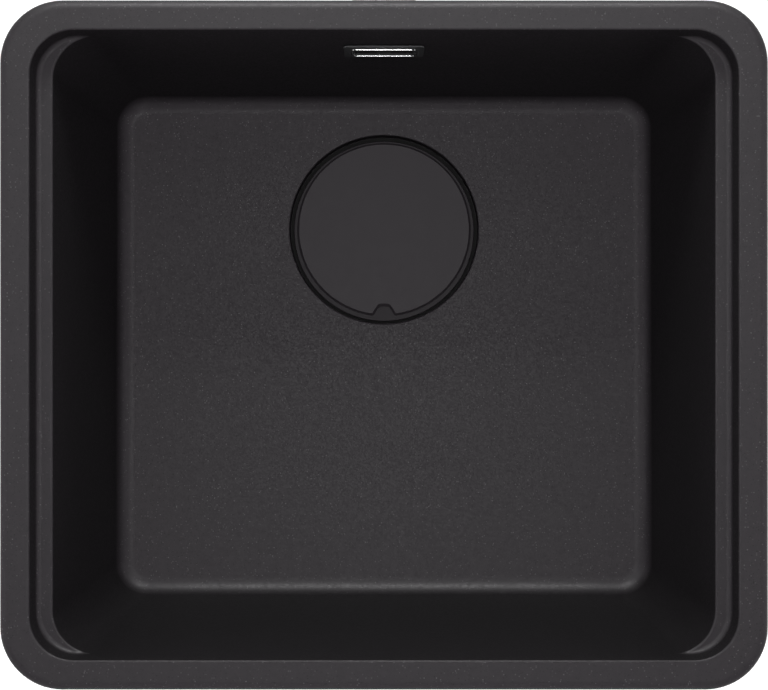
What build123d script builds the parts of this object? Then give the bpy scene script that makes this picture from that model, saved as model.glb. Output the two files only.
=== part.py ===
from build123d import *
import os
from math import cos, pi, sin

# A single-bowl granite composite sink for a worktop cut-out, with its waste, overflow and clamps.
# Millimetres. The origin is the centre of the rim's top face, +X right, +Y to the back, +Z up.

# Driving dimensions: the casting
BOWL_LENGTH = 450.0
BOWL_WIDTH = 400.0
BOWL_DEPTH = 200.0
RIM_WIDTH = 20.0
RIM_THICKNESS = 10.0
RIM_CORNER_R = 40.0
RIM_EDGE_R = 6.0
MOUTH_CORNER_R = 28.0
MOUTH_EDGE_R = 1.2
LEDGE_DEPTH = 16.0
LEDGE_WIDTH = 10.5
LEDGE_FILLET = 3.0
LEDGE_THICKNESS = 10.0
WALL = 9.0
WALL_DRAFT = 1.0
FLOOR_FILLET = 11.5
FLOOR_FALL = 0.01
CASTING_BOTTOM = -211.0
TUB_FOOT_R = 19.0
TUB_CORNER_R = MOUTH_CORNER_R + WALL

# Driving dimensions: the drain in the casting
DRAIN_Y = 92.5
RECESS_R = 75.5
RECESS_BOTTOM = -212.5
RECESS_EDGE_R = 1.2
DRAIN_HOLE_R = 45.0
DRAIN_BOSS_R = 87.0
DRAIN_BOSS_BOTTOM = -223.0

# Driving dimensions: the lid
COVER_R = 69.2
COVER_TOP = -200.8
COVER_THICKNESS = 3.0
COVER_CHAMFER = 0.9
NOTCH_DEPTH = 8.5
NOTCH_MOUTH = 17.0
NOTCH_TOP = 10.0
NOTCH_MOUTH_R = 3.0
NOTCH_TOP_R = 4.0
PAD_R = 6.0
PAD_CIRCLE_R = 58.0

# Driving dimensions: the waste
BRIM_R = 72.0
BRIM_TOP = -204.5
BRIM_SHEET = 2.0
BRIM_BEAD = 6.0
BRIM_EDGE_R = 0.8
SEAL_SHEET = 1.0
FLANGE_SEAL_R = 75.0
WELL_R = 41.0
WELL_WALL = 1.5
WELL_MOUTH_R = 44.5
WELL_MOUTH_DEPTH = 2.5
SEAT_TOP = -242.0
SEAT_SHEET = 2.0
SEAT_R = 27.0
HUB_R = 9.0
HUB_TOP = -250.0
HUB_BOTTOM = -254.0
SPOKE_WIDTH = 4.0
BODY_TOP = -225.0
BODY_FLANGE_R = 59.0
BODY_FLANGE_THICKNESS = 6.0
BODY_R = 45.5
BODY_WALL = 3.0
BODY_BOTTOM = -281.0
OUTLET_R = 23.9
OUTLET_BORE_R = 19.5
OUTLET_LENGTH = 22.0
TAIL_FLANGE_R = 36.0
TAIL_FLANGE_THICKNESS = 3.0
TAIL_SPIGOT_R = 29.9
BODY_HOLE_R = 30.0
BOLT_R = 5.0
BOLT_BORE_R = 3.1
BOLT_HEAD_R = 8.0
BOLT_HEAD_HEIGHT = 2.5
BOLT_SLOT = 2.0
BOLT_END = -274.0
BRIDGE_TOP = -264.0
BRIDGE_BOTTOM = -276.0
BRIDGE_HUB_R = 10.0
INSERT_R = 6.5

# Driving dimensions: the strainer basket and its plug
BASKET_R = 39.5
BASKET_SHEET = 1.0
BASKET_LIP_R = 44.0
BASKET_BOTTOM = -231.0
BASKET_HOLE_R = 2.1
BASKET_HOLE_RINGS = ((13.0, 8), (19.5, 12), (26.0, 16), (32.5, 20))
BASKET_SLOTS = 24
BASKET_SLOT_WIDTH = 3.0
BASKET_SLOT_HEIGHT = 12.0
STEM_R = 3.0
STEM_BOTTOM = -250.0
BUSH_R = 5.0
BUSH_FLANGE_R = 8.0
BUSH_HEIGHT = 4.0
KNOB_R = 9.0
KNOB_TOP = -206.0
KNOB_HEIGHT = 8.0
KNOB_WAIST_R = 6.0
KNOB_EDGE_R = 1.0
STEM_CHAMFER = 0.8
PLUG_SEAL_R = 31.0
PLUG_SEAL_TOP = -232.2
PLUG_SEAL_THICKNESS = 3.5
RETAINER_R = 7.0
RETAINER_HEIGHT = 2.5

# Driving dimensions: the overflow
OVERFLOW_Z = -50.8
SLOT_LENGTH = 40.0
SLOT_HEIGHT = 17.0
PAD_FACE_Y = 210.5
PAD_LENGTH = 66.0
PAD_HEIGHT = 35.0
PAD_CORNER_R = 8.0
PLATE_LENGTH = 54.0
PLATE_HEIGHT = 29.0
PLATE_SHEET = 1.1
PLATE_BACK_Y = 198.9
PLATE_CORNER_R = 3.0
BEZEL_LENGTH = 46.0
BEZEL_HEIGHT = 18.8
BEZEL_THICKNESS = 1.2
BEZEL_BAR = 1.6
BEZEL_CORNER_R = 4.5
BEZEL_EDGE_R = 0.5
OPENING_LENGTH = 38.8
OPENING_HEIGHT = 13.8
OPENING_CORNER_R = 3.0
BRACKET_WIDTH = 10.0
BRACKET_Y = 203.0
BRACKET_SHEET = 2.0
BRACKET_PLAY = 0.6
BRACKET_TAB = 1.5
OVERFLOW_SCREW_R = 2.5
OVERFLOW_SCREW_END_Y = 222.0
SCREW_HEAD_R = 4.2
SCREW_HEAD_HEIGHT = 2.4
SCREW_SLOT = 1.2
GASKET_SHEET = 1.5
GASKET_PLAY = 0.5
ELBOW_DROP = 4.7
ELBOW_FLANGE_LENGTH = 60.0
ELBOW_FLANGE_HEIGHT = 34.0
ELBOW_FLANGE_SHEET = 3.0
ELBOW_LENGTH = 50.0
ELBOW_INSIDE = 42.0
ELBOW_HEIGHT = 32.0
ELBOW_BACK_Y = 231.0
ELBOW_WALL = 2.5
ELBOW_CORNER_R = 7.0
ELBOW_BOSS_R = 5.0
ELBOW_BOSS_Y = 214.0
SPIGOT_R = 11.2
SPIGOT_BORE_R = 8.0
SPIGOT_LENGTH = 19.5

# Driving dimensions: the overflow hose and its unions
HOSE_DROP_Y = 224.0
HOSE_INLET_Z = -264.0
INLET_END_Y = 153.0
HOSE_BEND_R = 44.0
HOSE_BORE_R = 8.0
HOSE_ROOT_R = 9.2
HOSE_CREST_R = 11.0
HOSE_RIBS = 48
COLLAR_LENGTH = 3.0
COLLAR_STEP = 0.4
NECK_LENGTH = 6.0
UNION_SEAL = 2.0
UNION_R = 13.8
UNION_SKIRT = 10.0
UNION_LIP = 2.5
UNION_LIP_R = 9.8
UNION_GRIPS = 12
UNION_GRIP_R = 1.3
THREAD_FIT = 0.06

# Driving dimensions: the worktop clamps
CLAMP_X = 228.0
CLAMP_ROWS = {"front": -120.0, "middle": 0.0, "back": 120.0}
CLAMP_SIDES = {"left": -1, "right": 1}
CLAMP_BOSS_WIDTH = 20.0
CLAMP_BOSS_BOTTOM = -46.0
CLAMP_INSERT_R = 4.0
CLAMP_INSERT_LENGTH = 12.0
CLAMP_HOLE_R = 2.8
CLAMP_HOLE_TOP = -20.0
CLAMP_SCREW_R = 2.5
CLAMP_SCREW_TOP = -38.0
CLAMP_HEAD_R = 4.25
CLAMP_HEAD_TOP = -70.0
CLAMP_HEAD_HEIGHT = 4.0
CLAMP_SLOT_WIDTH = 1.2
CLAMP_SLOT_DEPTH = 1.6
ARM_WIDTH = 8.0
ARM_LENGTH = 34.0
ARM_SHEET = 2.5
ARM_CORNER_R = 1.5
ARM_TOE_WIDTH = 6.0
ARM_TOE_TOP = -56.0
RUNNING_FIT = 0.08

# Sizes worked out from the driving dimensions
RIM_LENGTH = BOWL_LENGTH + 2 * RIM_WIDTH
RIM_BREADTH = BOWL_WIDTH + 2 * RIM_WIDTH
LOWER_LENGTH = BOWL_LENGTH - 2 * LEDGE_WIDTH
STEP_UNDERSIDE = -LEDGE_DEPTH - LEDGE_THICKNESS
COVER_BOTTOM = COVER_TOP - COVER_THICKNESS
WELL_STEP = BRIM_TOP - WELL_MOUTH_DEPTH
BRIM_UNDERSIDE = RECESS_BOTTOM + SEAL_SHEET
ELBOW_Z = OVERFLOW_Z - ELBOW_DROP
SPIGOT_END = ELBOW_Z - ELBOW_HEIGHT / 2 - SPIGOT_LENGTH
CLAMP_SPOTS = [
    (side, row, CLAMP_SIDES[side] * CLAMP_X, CLAMP_ROWS[row]) for side in CLAMP_SIDES for row in CLAMP_ROWS
]


def ring(outer_r, inner_r, bottom, top):
    """A flat-ended ring about the Z axis."""
    return Pos(0, 0, bottom) * extrude(Circle(outer_r) - Circle(inner_r), top - bottom)


def disc(radius, bottom, top):
    """A cylinder about the Z axis."""
    return Pos(0, 0, bottom) * extrude(Circle(radius), top - bottom)


def slab(length, breadth, corner_r, bottom, top):
    """A rounded rectangular slab on the Z axis."""
    return Pos(0, 0, bottom) * extrude(RectangleRounded(length, breadth, corner_r), top - bottom)


def tapered_slab(length, breadth, corner_r, top, depth):
    """A rounded rectangular slab that hangs down from its top and narrows by the wall draft."""
    block = extrude(RectangleRounded(length, breadth, corner_r), depth, taper=WALL_DRAFT)
    return Pos(0, 0, top) * Rot(180, 0, 0) * block


def wall_plate(outline, front_y, thickness):
    """An outline drawn in X and Z at the overflow's height, made solid towards the back."""
    plane = Plane(origin=(0, front_y, OVERFLOW_Z), x_dir=(1, 0, 0), z_dir=(0, -1, 0))
    return extrude(plane * outline, -thickness)


def elbow_outline(length, height, corner_r):
    """A rounded rectangle for the overflow's back side, which hangs lower than its front."""
    return Pos(0, -ELBOW_DROP) * RectangleRounded(length, height, corner_r)


def at_drain(shape):
    """A shape made about the Z axis, moved to the drain's axis."""
    return Pos(0, DRAIN_Y, 0) * shape


def bottom_edges(shape):
    """The edges round the lowest face of a shape."""
    return shape.faces().sort_by(Axis.Z)[0].edges()


def spokes(inner_r, outer_r, width, bottom, top, first_angle):
    """Four radial bars about the Z axis."""
    bar = Pos((inner_r + outer_r) / 2, 0, (bottom + top) / 2) * Box(outer_r - inner_r, width, top - bottom)
    return [Rot(0, 0, first_angle + 90 * k) * bar for k in range(4)]


def bowl_cavity():
    """The space inside the bowl: the mouth down to the ledges, and the lower bowl down to the floor."""
    mouth = slab(BOWL_LENGTH, BOWL_WIDTH, MOUTH_CORNER_R, -LEDGE_DEPTH, 0)
    mouth = fillet(bottom_edges(mouth), LEDGE_FILLET)
    shaft = slab(LOWER_LENGTH, BOWL_WIDTH, MOUTH_CORNER_R, -LEDGE_DEPTH, 0)
    lower = tapered_slab(LOWER_LENGTH, BOWL_WIDTH, MOUTH_CORNER_R, -LEDGE_DEPTH, BOWL_DEPTH)
    floor = Plane(origin=(0, DRAIN_Y, -BOWL_DEPTH), x_dir=(1, 0, 0), z_dir=(0, FLOOR_FALL, 1))
    lower = split(lower, bisect_by=floor, keep=Keep.TOP)
    lower = fillet(bottom_edges(lower), FLOOR_FILLET)
    return mouth + shaft + lower


def basin_outside():
    """The outer form of the casting, before its hollows are cut."""
    rim = slab(RIM_LENGTH, RIM_BREADTH, RIM_CORNER_R, -RIM_THICKNESS, 0)
    rim = fillet(rim.edges().group_by(Axis.Z)[-1], RIM_EDGE_R)
    breadth = BOWL_WIDTH + 2 * WALL
    collar = slab(BOWL_LENGTH + 2 * WALL, breadth, TUB_CORNER_R, STEP_UNDERSIDE, -RIM_THICKNESS)
    tub_depth = STEP_UNDERSIDE - CASTING_BOTTOM
    tub = tapered_slab(LOWER_LENGTH + 2 * WALL, breadth, TUB_CORNER_R, STEP_UNDERSIDE, tub_depth)
    tub = fillet(bottom_edges(tub), TUB_FOOT_R)
    drain_boss = at_drain(disc(DRAIN_BOSS_R, DRAIN_BOSS_BOTTOM, CASTING_BOTTOM + WALL))
    pad_face = elbow_outline(PAD_LENGTH, PAD_HEIGHT, PAD_CORNER_R)
    pad = wall_plate(pad_face, BOWL_WIDTH / 2, PAD_FACE_Y - BOWL_WIDTH / 2)
    return rim + collar + tub + drain_boss + pad + clamp_bosses()


def clamp_bosses():
    """The six pillars under the ledges that hold the clamp threads."""
    inner_x = LOWER_LENGTH / 2
    outer_x = BOWL_LENGTH / 2 + WALL
    height = STEP_UNDERSIDE - CLAMP_BOSS_BOTTOM
    middle_z = (STEP_UNDERSIDE + CLAMP_BOSS_BOTTOM) / 2
    bosses = []
    for side, row, x, y in CLAMP_SPOTS:
        middle_x = CLAMP_SIDES[side] * (inner_x + outer_x) / 2
        bosses.append(Pos(middle_x, y, middle_z) * Box(outer_x - inner_x, CLAMP_BOSS_WIDTH, height))
    return bosses


def basin():
    """The casting: rim, ledges, bowl, drain recess, overflow slot and clamp bosses."""
    casting = basin_outside() - bowl_cavity()
    mouth_edges = casting.faces().filter_by(Plane.XY).sort_by(Axis.Z)[-1].inner_wires()[0].edges()
    casting = fillet(mouth_edges, MOUTH_EDGE_R)
    casting -= at_drain(disc(RECESS_R, RECESS_BOTTOM, -BOWL_DEPTH / 2))
    casting -= at_drain(disc(DRAIN_HOLE_R, DRAIN_BOSS_BOTTOM, RECESS_BOTTOM))
    slot = SlotOverall(SLOT_LENGTH, SLOT_HEIGHT)
    casting -= wall_plate(slot, BOWL_WIDTH / 2 - WALL, 3 * WALL)
    for side, row, x, y in CLAMP_SPOTS:
        insert_top = CLAMP_BOSS_BOTTOM + CLAMP_INSERT_LENGTH
        casting -= Pos(x, y, 0) * disc(CLAMP_INSERT_R, CLAMP_BOSS_BOTTOM, insert_top)
        casting -= Pos(x, y, 0) * disc(CLAMP_HOLE_R, insert_top, CLAMP_HOLE_TOP)
    return fillet(casting.edges().filter_by(is_recess_edge), RECESS_EDGE_R)


def is_recess_edge(edge):
    """True for the edge where the bowl's floor falls into the drain recess."""
    box = edge.bounding_box()
    round_size = abs(box.size.X - 2 * RECESS_R) < 1 and abs(box.size.Y - 2 * RECESS_R) < 1
    return round_size and box.min.Z > RECESS_BOTTOM + WALL


def clamp_inserts():
    """Six threaded brass sleeves, cast into the bosses."""
    bottom = CLAMP_BOSS_BOTTOM
    sleeve = ring(CLAMP_INSERT_R, CLAMP_SCREW_R + THREAD_FIT, bottom, bottom + CLAMP_INSERT_LENGTH)
    return [Pos(x, y, 0) * sleeve for side, row, x, y in CLAMP_SPOTS]


def clamp_screw(x, y):
    """A slotted screw, head down, with its shank in the insert above it."""
    head = disc(CLAMP_HEAD_R, CLAMP_HEAD_TOP - CLAMP_HEAD_HEIGHT, CLAMP_HEAD_TOP)
    slot_z = CLAMP_HEAD_TOP - CLAMP_HEAD_HEIGHT + CLAMP_SLOT_DEPTH / 2
    slot = Pos(0, 0, slot_z) * Box(3 * CLAMP_HEAD_R, CLAMP_SLOT_WIDTH, CLAMP_SLOT_DEPTH)
    shank = disc(CLAMP_SCREW_R, CLAMP_HEAD_TOP, CLAMP_SCREW_TOP)
    return Pos(x, y, 0) * (head + shank - slot)


def clamp_arm(x, y):
    """A bent steel strip on the screw's head, parked along the wall, with an upturned toe."""
    reach = ARM_LENGTH - ARM_WIDTH / 2
    outline = Pos(0, reach / 2) * Rectangle(ARM_WIDTH, reach) + Circle(ARM_WIDTH / 2)
    outline += Pos(0, reach) * RectangleRounded(ARM_WIDTH, ARM_WIDTH, ARM_CORNER_R)
    strip = Pos(0, 0, CLAMP_HEAD_TOP) * extrude(outline, ARM_SHEET)
    toe_height = ARM_TOE_TOP - CLAMP_HEAD_TOP
    toe = Pos(0, ARM_LENGTH - ARM_SHEET / 2, CLAMP_HEAD_TOP + toe_height / 2)
    toe *= Box(ARM_TOE_WIDTH, ARM_SHEET, toe_height)
    hole = disc(CLAMP_SCREW_R + RUNNING_FIT, CLAMP_HEAD_TOP, CLAMP_HEAD_TOP + ARM_SHEET)
    return Pos(x, y, 0) * (strip + toe - hole)


def cover_outline():
    """The lid's outline: a circle with a smooth finger notch at the front."""
    notch = Polygon(
        (-NOTCH_MOUTH / 2, 0),
        (-NOTCH_TOP / 2, NOTCH_DEPTH),
        (NOTCH_TOP / 2, NOTCH_DEPTH),
        (NOTCH_MOUTH / 2, 0),
        (NOTCH_MOUTH / 2, -NOTCH_DEPTH),
        (-NOTCH_MOUTH / 2, -NOTCH_DEPTH),
        align=None,
    )
    outline = Circle(COVER_R) - Pos(0, -COVER_R) * notch
    corners = outline.vertices().group_by(Axis.Y)
    outline = fillet(corners[0], NOTCH_MOUTH_R)
    tops = outline.vertices().filter_by(lambda v: abs(v.Y + COVER_R - NOTCH_DEPTH) < 0.01)
    return fillet(tops, NOTCH_TOP_R)


def drain_cover():
    """The lid: a plate with its top edge broken all round, the notch included."""
    plate = extrude(cover_outline(), COVER_THICKNESS)
    plate = chamfer(plate.edges().group_by(Axis.Z)[-1], COVER_CHAMFER)
    return at_drain(Pos(0, 0, COVER_BOTTOM) * plate)


def cover_pads():
    """Four thin rubber pads between the lid and the flange's brim."""
    pad = Pos(PAD_CIRCLE_R, 0, 0) * disc(PAD_R, BRIM_TOP, COVER_BOTTOM)
    return [at_drain(Rot(0, 0, 45 + 90 * k) * pad) for k in range(4)]


def waste_flange():
    """The brim with its bead, the strainer well, the plug seat and the hub for the bolt."""
    outer_well_r = WELL_R + WELL_WALL
    section = Polyline(
        (WELL_MOUTH_R, BRIM_TOP),
        (BRIM_R, BRIM_TOP),
        (BRIM_R, BRIM_UNDERSIDE),
        (BRIM_R - BRIM_BEAD, BRIM_UNDERSIDE),
        (BRIM_R - BRIM_BEAD, BRIM_TOP - BRIM_SHEET),
        (WELL_MOUTH_R + WELL_WALL, BRIM_TOP - BRIM_SHEET),
        (WELL_MOUTH_R + WELL_WALL, WELL_STEP - WELL_WALL),
        (outer_well_r, WELL_STEP - WELL_WALL),
        (outer_well_r, SEAT_TOP - SEAT_SHEET),
        (SEAT_R, SEAT_TOP - SEAT_SHEET),
        (SEAT_R, SEAT_TOP),
        (WELL_R, SEAT_TOP),
        (WELL_R, WELL_STEP),
        (WELL_MOUTH_R, WELL_STEP),
        close=True,
    )
    shell = revolve(Plane.XZ * make_face(section), Axis.Z)
    shell += spokes(0, SEAT_R + 3, SPOKE_WIDTH, HUB_BOTTOM, SEAT_TOP - SEAT_SHEET, 0)
    shell -= disc(HUB_R, HUB_TOP, SEAT_TOP)
    shell += disc(HUB_R, HUB_BOTTOM, HUB_TOP)
    shell -= disc(BOLT_R + THREAD_FIT, HUB_BOTTOM, HUB_TOP)
    rim_edge = shell.edges().filter_by(GeomType.CIRCLE).group_by(Axis.Z)[-1].sort_by(SortBy.RADIUS)[-1]
    return at_drain(fillet(rim_edge, BRIM_EDGE_R))


def waste_body():
    """The cup under the casting, with the bolt's bridge, the overflow inlet and the seat of the outlet tail."""
    outer_r = BODY_R + BODY_WALL
    cup = ring(BODY_FLANGE_R, BODY_R, BODY_TOP - BODY_FLANGE_THICKNESS, BODY_TOP)
    cup += ring(outer_r, BODY_R, BODY_BOTTOM, BODY_TOP)
    cup += ring(outer_r - 1, BODY_HOLE_R, BODY_BOTTOM, BODY_BOTTOM + BODY_WALL)
    inlet_length = INLET_END_Y - DRAIN_Y
    inlet_plane = Plane(origin=(0, 0, HOSE_INLET_Z), x_dir=(1, 0, 0), z_dir=(0, 1, 0))
    inlet = extrude(inlet_plane * Circle(SPIGOT_R), inlet_length)
    inlet_bore = extrude(inlet_plane * Circle(SPIGOT_BORE_R), inlet_length)
    cup += inlet - disc(BODY_R, BODY_BOTTOM, BODY_TOP)
    cup -= inlet_bore
    cup += spokes(BRIDGE_HUB_R - 1, BODY_R + 1, SPOKE_WIDTH, BRIDGE_BOTTOM, BRIDGE_TOP, 45)
    cup += ring(BRIDGE_HUB_R, INSERT_R, BRIDGE_BOTTOM, BRIDGE_TOP)
    return at_drain(cup)


def waste_tail():
    """The threaded outlet, welded under the cup by its flange and centred in the cup's floor by a spigot."""
    end = BODY_BOTTOM - OUTLET_LENGTH
    floor_top = BODY_BOTTOM + BODY_WALL
    tail = disc(OUTLET_R, end, BODY_BOTTOM)
    tail += disc(TAIL_FLANGE_R, BODY_BOTTOM - TAIL_FLANGE_THICKNESS, BODY_BOTTOM)
    tail += disc(TAIL_SPIGOT_R, BODY_BOTTOM, floor_top)
    tail -= disc(OUTLET_BORE_R, end, floor_top)
    return at_drain(tail)


def waste_bolt():
    """The hollow bolt through the flange's hub, which also guides the plug's stem."""
    head = disc(BOLT_HEAD_R, HUB_TOP, HUB_TOP + BOLT_HEAD_HEIGHT)
    slot = Pos(0, 0, HUB_TOP + BOLT_HEAD_HEIGHT) * Box(3 * BOLT_HEAD_R, BOLT_SLOT, BOLT_SLOT)
    shank = disc(BOLT_R, BOLT_END, HUB_TOP)
    bore = disc(BOLT_BORE_R, BOLT_END, HUB_TOP + BOLT_HEAD_HEIGHT)
    return at_drain(head + shank - slot - bore)


def strainer_basket():
    """The perforated basket, hanging by its lip on the step in the well's mouth."""
    lip_top = WELL_STEP + BASKET_SHEET
    basket = ring(BASKET_LIP_R, BASKET_R - BASKET_SHEET, WELL_STEP, lip_top)
    basket += ring(BASKET_R, BASKET_R - BASKET_SHEET, BASKET_BOTTOM, lip_top)
    basket += ring(BASKET_R, BUSH_R, BASKET_BOTTOM, BASKET_BOTTOM + BASKET_SHEET)
    hole = disc(BASKET_HOLE_R, BASKET_BOTTOM, BASKET_BOTTOM + BASKET_SHEET)
    holes = [
        Rot(0, 0, 360 * k / count) * Pos(circle_r, 0, 0) * hole
        for circle_r, count in BASKET_HOLE_RINGS
        for k in range(count)
    ]
    slot_z = (WELL_STEP + BASKET_BOTTOM) / 2
    slot = Pos(BASKET_R, 0, slot_z) * Box(3 * BASKET_SHEET, BASKET_SLOT_WIDTH, BASKET_SLOT_HEIGHT)
    slots = [Rot(0, 0, 360 * k / BASKET_SLOTS) * slot for k in range(BASKET_SLOTS)]
    return at_drain(basket - holes - slots)


def basket_bush():
    """The plastic guide of the plug's stem, pressed into the basket's floor."""
    floor_top = BASKET_BOTTOM + BASKET_SHEET
    bush = disc(BUSH_R, BASKET_BOTTOM, floor_top) + disc(BUSH_FLANGE_R, floor_top, floor_top + BUSH_HEIGHT)
    return at_drain(bush - disc(STEM_R + RUNNING_FIT, BASKET_BOTTOM, floor_top + BUSH_HEIGHT))


def plug_knob():
    """The round pull on top of the stem, with a waist for the fingers."""
    bottom = KNOB_TOP - KNOB_HEIGHT
    cap_bottom = KNOB_TOP - KNOB_HEIGHT / 2
    knob = disc(KNOB_R, cap_bottom, KNOB_TOP) + disc(KNOB_WAIST_R, bottom, cap_bottom)
    knob = fillet(knob.edges().group_by(Axis.Z)[-1], KNOB_EDGE_R)
    return at_drain(knob - disc(STEM_R, bottom, cap_bottom))


def plug_stem():
    """The steel stem from the knob through the bush to the hollow bolt."""
    stem = disc(STEM_R, STEM_BOTTOM, KNOB_TOP - KNOB_HEIGHT / 2)
    return at_drain(chamfer(bottom_edges(stem), STEM_CHAMFER))


def overflow_plate():
    """The thin plate on the back wall, with a bracket through the slot for the screw."""
    face = RectangleRounded(PLATE_LENGTH, PLATE_HEIGHT, PLATE_CORNER_R)
    face -= RectangleRounded(OPENING_LENGTH, OPENING_HEIGHT, OPENING_CORNER_R)
    plate = wall_plate(face, PLATE_BACK_Y - PLATE_SHEET, PLATE_SHEET)
    bracket_height = SLOT_HEIGHT - BRACKET_PLAY
    tab_depth = BRACKET_Y + BRACKET_SHEET - PLATE_BACK_Y
    for end in (-1, 1):
        tab_z = end * (bracket_height - BRACKET_TAB) / 2
        plate += wall_plate(Pos(0, tab_z) * Rectangle(BRACKET_WIDTH, BRACKET_TAB), PLATE_BACK_Y, tab_depth)
    strip = Rectangle(BRACKET_WIDTH, bracket_height) - Circle(OVERFLOW_SCREW_R + THREAD_FIT)
    return plate + wall_plate(strip, BRACKET_Y, BRACKET_SHEET)


def overflow_bezel():
    """The narrow chrome frame on the plate, a little larger than the plate's opening."""
    inner_length = BEZEL_LENGTH - 2 * BEZEL_BAR
    inner_height = BEZEL_HEIGHT - 2 * BEZEL_BAR
    face = RectangleRounded(BEZEL_LENGTH, BEZEL_HEIGHT, BEZEL_CORNER_R)
    face -= RectangleRounded(inner_length, inner_height, BEZEL_CORNER_R - BEZEL_BAR)
    frame = wall_plate(face, PLATE_BACK_Y - PLATE_SHEET - BEZEL_THICKNESS, BEZEL_THICKNESS)
    return fillet(frame.edges().group_by(Axis.Y)[0], BEZEL_EDGE_R)


def overflow_screw():
    """The screw that draws plate and elbow together through the slot."""
    head_y = BRACKET_Y - SCREW_HEAD_HEIGHT
    head = wall_plate(Circle(SCREW_HEAD_R), head_y, SCREW_HEAD_HEIGHT)
    head -= wall_plate(Rectangle(3 * SCREW_HEAD_R, SCREW_SLOT), head_y, SCREW_SLOT)
    return head + wall_plate(Circle(OVERFLOW_SCREW_R), BRACKET_Y, OVERFLOW_SCREW_END_Y - BRACKET_Y)


def overflow_seal():
    """The flat gasket between the casting's pad and the elbow."""
    outline = elbow_outline(ELBOW_FLANGE_LENGTH, ELBOW_FLANGE_HEIGHT, PAD_CORNER_R)
    outline -= SlotOverall(SLOT_LENGTH + 2 * GASKET_PLAY, SLOT_HEIGHT + 2 * GASKET_PLAY)
    return wall_plate(outline, PAD_FACE_Y, GASKET_SHEET)


def overflow_elbow():
    """The plastic chamber behind the wall, with a downward spigot and a boss for the screw."""
    front_y = PAD_FACE_Y + GASKET_SHEET
    depth = ELBOW_BACK_Y - front_y
    flange = elbow_outline(ELBOW_FLANGE_LENGTH, ELBOW_FLANGE_HEIGHT, PAD_CORNER_R)
    elbow = wall_plate(flange, front_y, ELBOW_FLANGE_SHEET)
    elbow += wall_plate(elbow_outline(ELBOW_LENGTH, ELBOW_HEIGHT, ELBOW_CORNER_R), front_y, depth)
    elbow += Pos(0, HOSE_DROP_Y, 0) * disc(SPIGOT_R, SPIGOT_END, ELBOW_Z)
    inside_r = ELBOW_CORNER_R - ELBOW_WALL
    inside = elbow_outline(ELBOW_INSIDE, ELBOW_HEIGHT - 2 * ELBOW_WALL, inside_r)
    elbow -= wall_plate(inside, front_y, depth - ELBOW_WALL)
    elbow -= Pos(0, HOSE_DROP_Y, 0) * disc(SPIGOT_BORE_R, SPIGOT_END, ELBOW_Z)
    elbow += wall_plate(Circle(ELBOW_BOSS_R), ELBOW_BOSS_Y, ELBOW_BACK_Y - ELBOW_BOSS_Y)
    screw_room = OVERFLOW_SCREW_END_Y + ELBOW_WALL - ELBOW_BOSS_Y
    return elbow - wall_plate(Circle(OVERFLOW_SCREW_R + THREAD_FIT), ELBOW_BOSS_Y, screw_room)


def hose_ends():
    """The hose's two end heights and places: top end Z, and lower end Y."""
    return SPIGOT_END - UNION_SEAL, INLET_END_Y + UNION_SEAL


def hose_station(distance):
    """Point and direction on the hose's middle line, measured from its top end."""
    top_z, end_y = hose_ends()
    drop = top_z - (HOSE_INLET_Z + HOSE_BEND_R)
    bend = HOSE_BEND_R * pi / 2
    centre_y = HOSE_DROP_Y - HOSE_BEND_R
    if distance <= drop:
        return (0, HOSE_DROP_Y, top_z - distance), (0, 0, -1)
    if distance <= drop + bend:
        turn = (distance - drop) / HOSE_BEND_R
        y = centre_y + HOSE_BEND_R * cos(turn)
        z = HOSE_INLET_Z + HOSE_BEND_R * (1 - sin(turn))
        return (0, y, z), (0, -sin(turn), -cos(turn))
    return (0, centre_y - (distance - drop - bend), HOSE_INLET_Z), (0, -1, 0)


def hose_length():
    """Length of the hose's middle line."""
    top_z, end_y = hose_ends()
    drop = top_z - (HOSE_INLET_Z + HOSE_BEND_R)
    run = HOSE_DROP_Y - HOSE_BEND_R - end_y
    return drop + HOSE_BEND_R * pi / 2 + run


def hose_circle(distance, radius):
    """A circle square to the hose's middle line, with its X axis kept along the sink's X."""
    point, direction = hose_station(distance)
    return Plane(origin=point, x_dir=(1, 0, 0), z_dir=direction) * Circle(radius)


def overflow_hose():
    """The ribbed hose: a collar at each end, and trapezoid ribs between, with a smooth bore."""
    length = hose_length()
    plain = COLLAR_LENGTH + NECK_LENGTH
    pitch = (length - 2 * plain) / HOSE_RIBS
    rib = ((0.0, HOSE_ROOT_R), (0.25, HOSE_CREST_R), (0.55, HOSE_CREST_R), (0.8, HOSE_ROOT_R))
    collar = ((0.0, HOSE_CREST_R), (COLLAR_LENGTH, HOSE_CREST_R), (COLLAR_LENGTH + COLLAR_STEP, HOSE_ROOT_R))
    stations = list(collar)
    for k in range(HOSE_RIBS):
        stations += [(plain + pitch * (k + share), radius) for share, radius in rib]
    stations += [(length - distance, radius) for distance, radius in reversed(collar)]
    skin = loft([hose_circle(distance, radius) for distance, radius in stations], ruled=True)
    top_z, end_y = hose_ends()
    centre = (0, HOSE_DROP_Y - HOSE_BEND_R, HOSE_INLET_Z + HOSE_BEND_R)
    drop = Line((0, HOSE_DROP_Y, top_z), (0, HOSE_DROP_Y, centre[2]))
    mid = HOSE_BEND_R * cos(pi / 4)
    bend = ThreePointArc(drop @ 1, (0, centre[1] + mid, centre[2] - mid), (0, centre[1], HOSE_INLET_Z))
    run = Line(bend @ 1, (0, end_y, HOSE_INLET_Z))
    bore = sweep(hose_circle(0, HOSE_BORE_R), path=Wire([drop, bend, run]))
    return skin - bore


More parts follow.
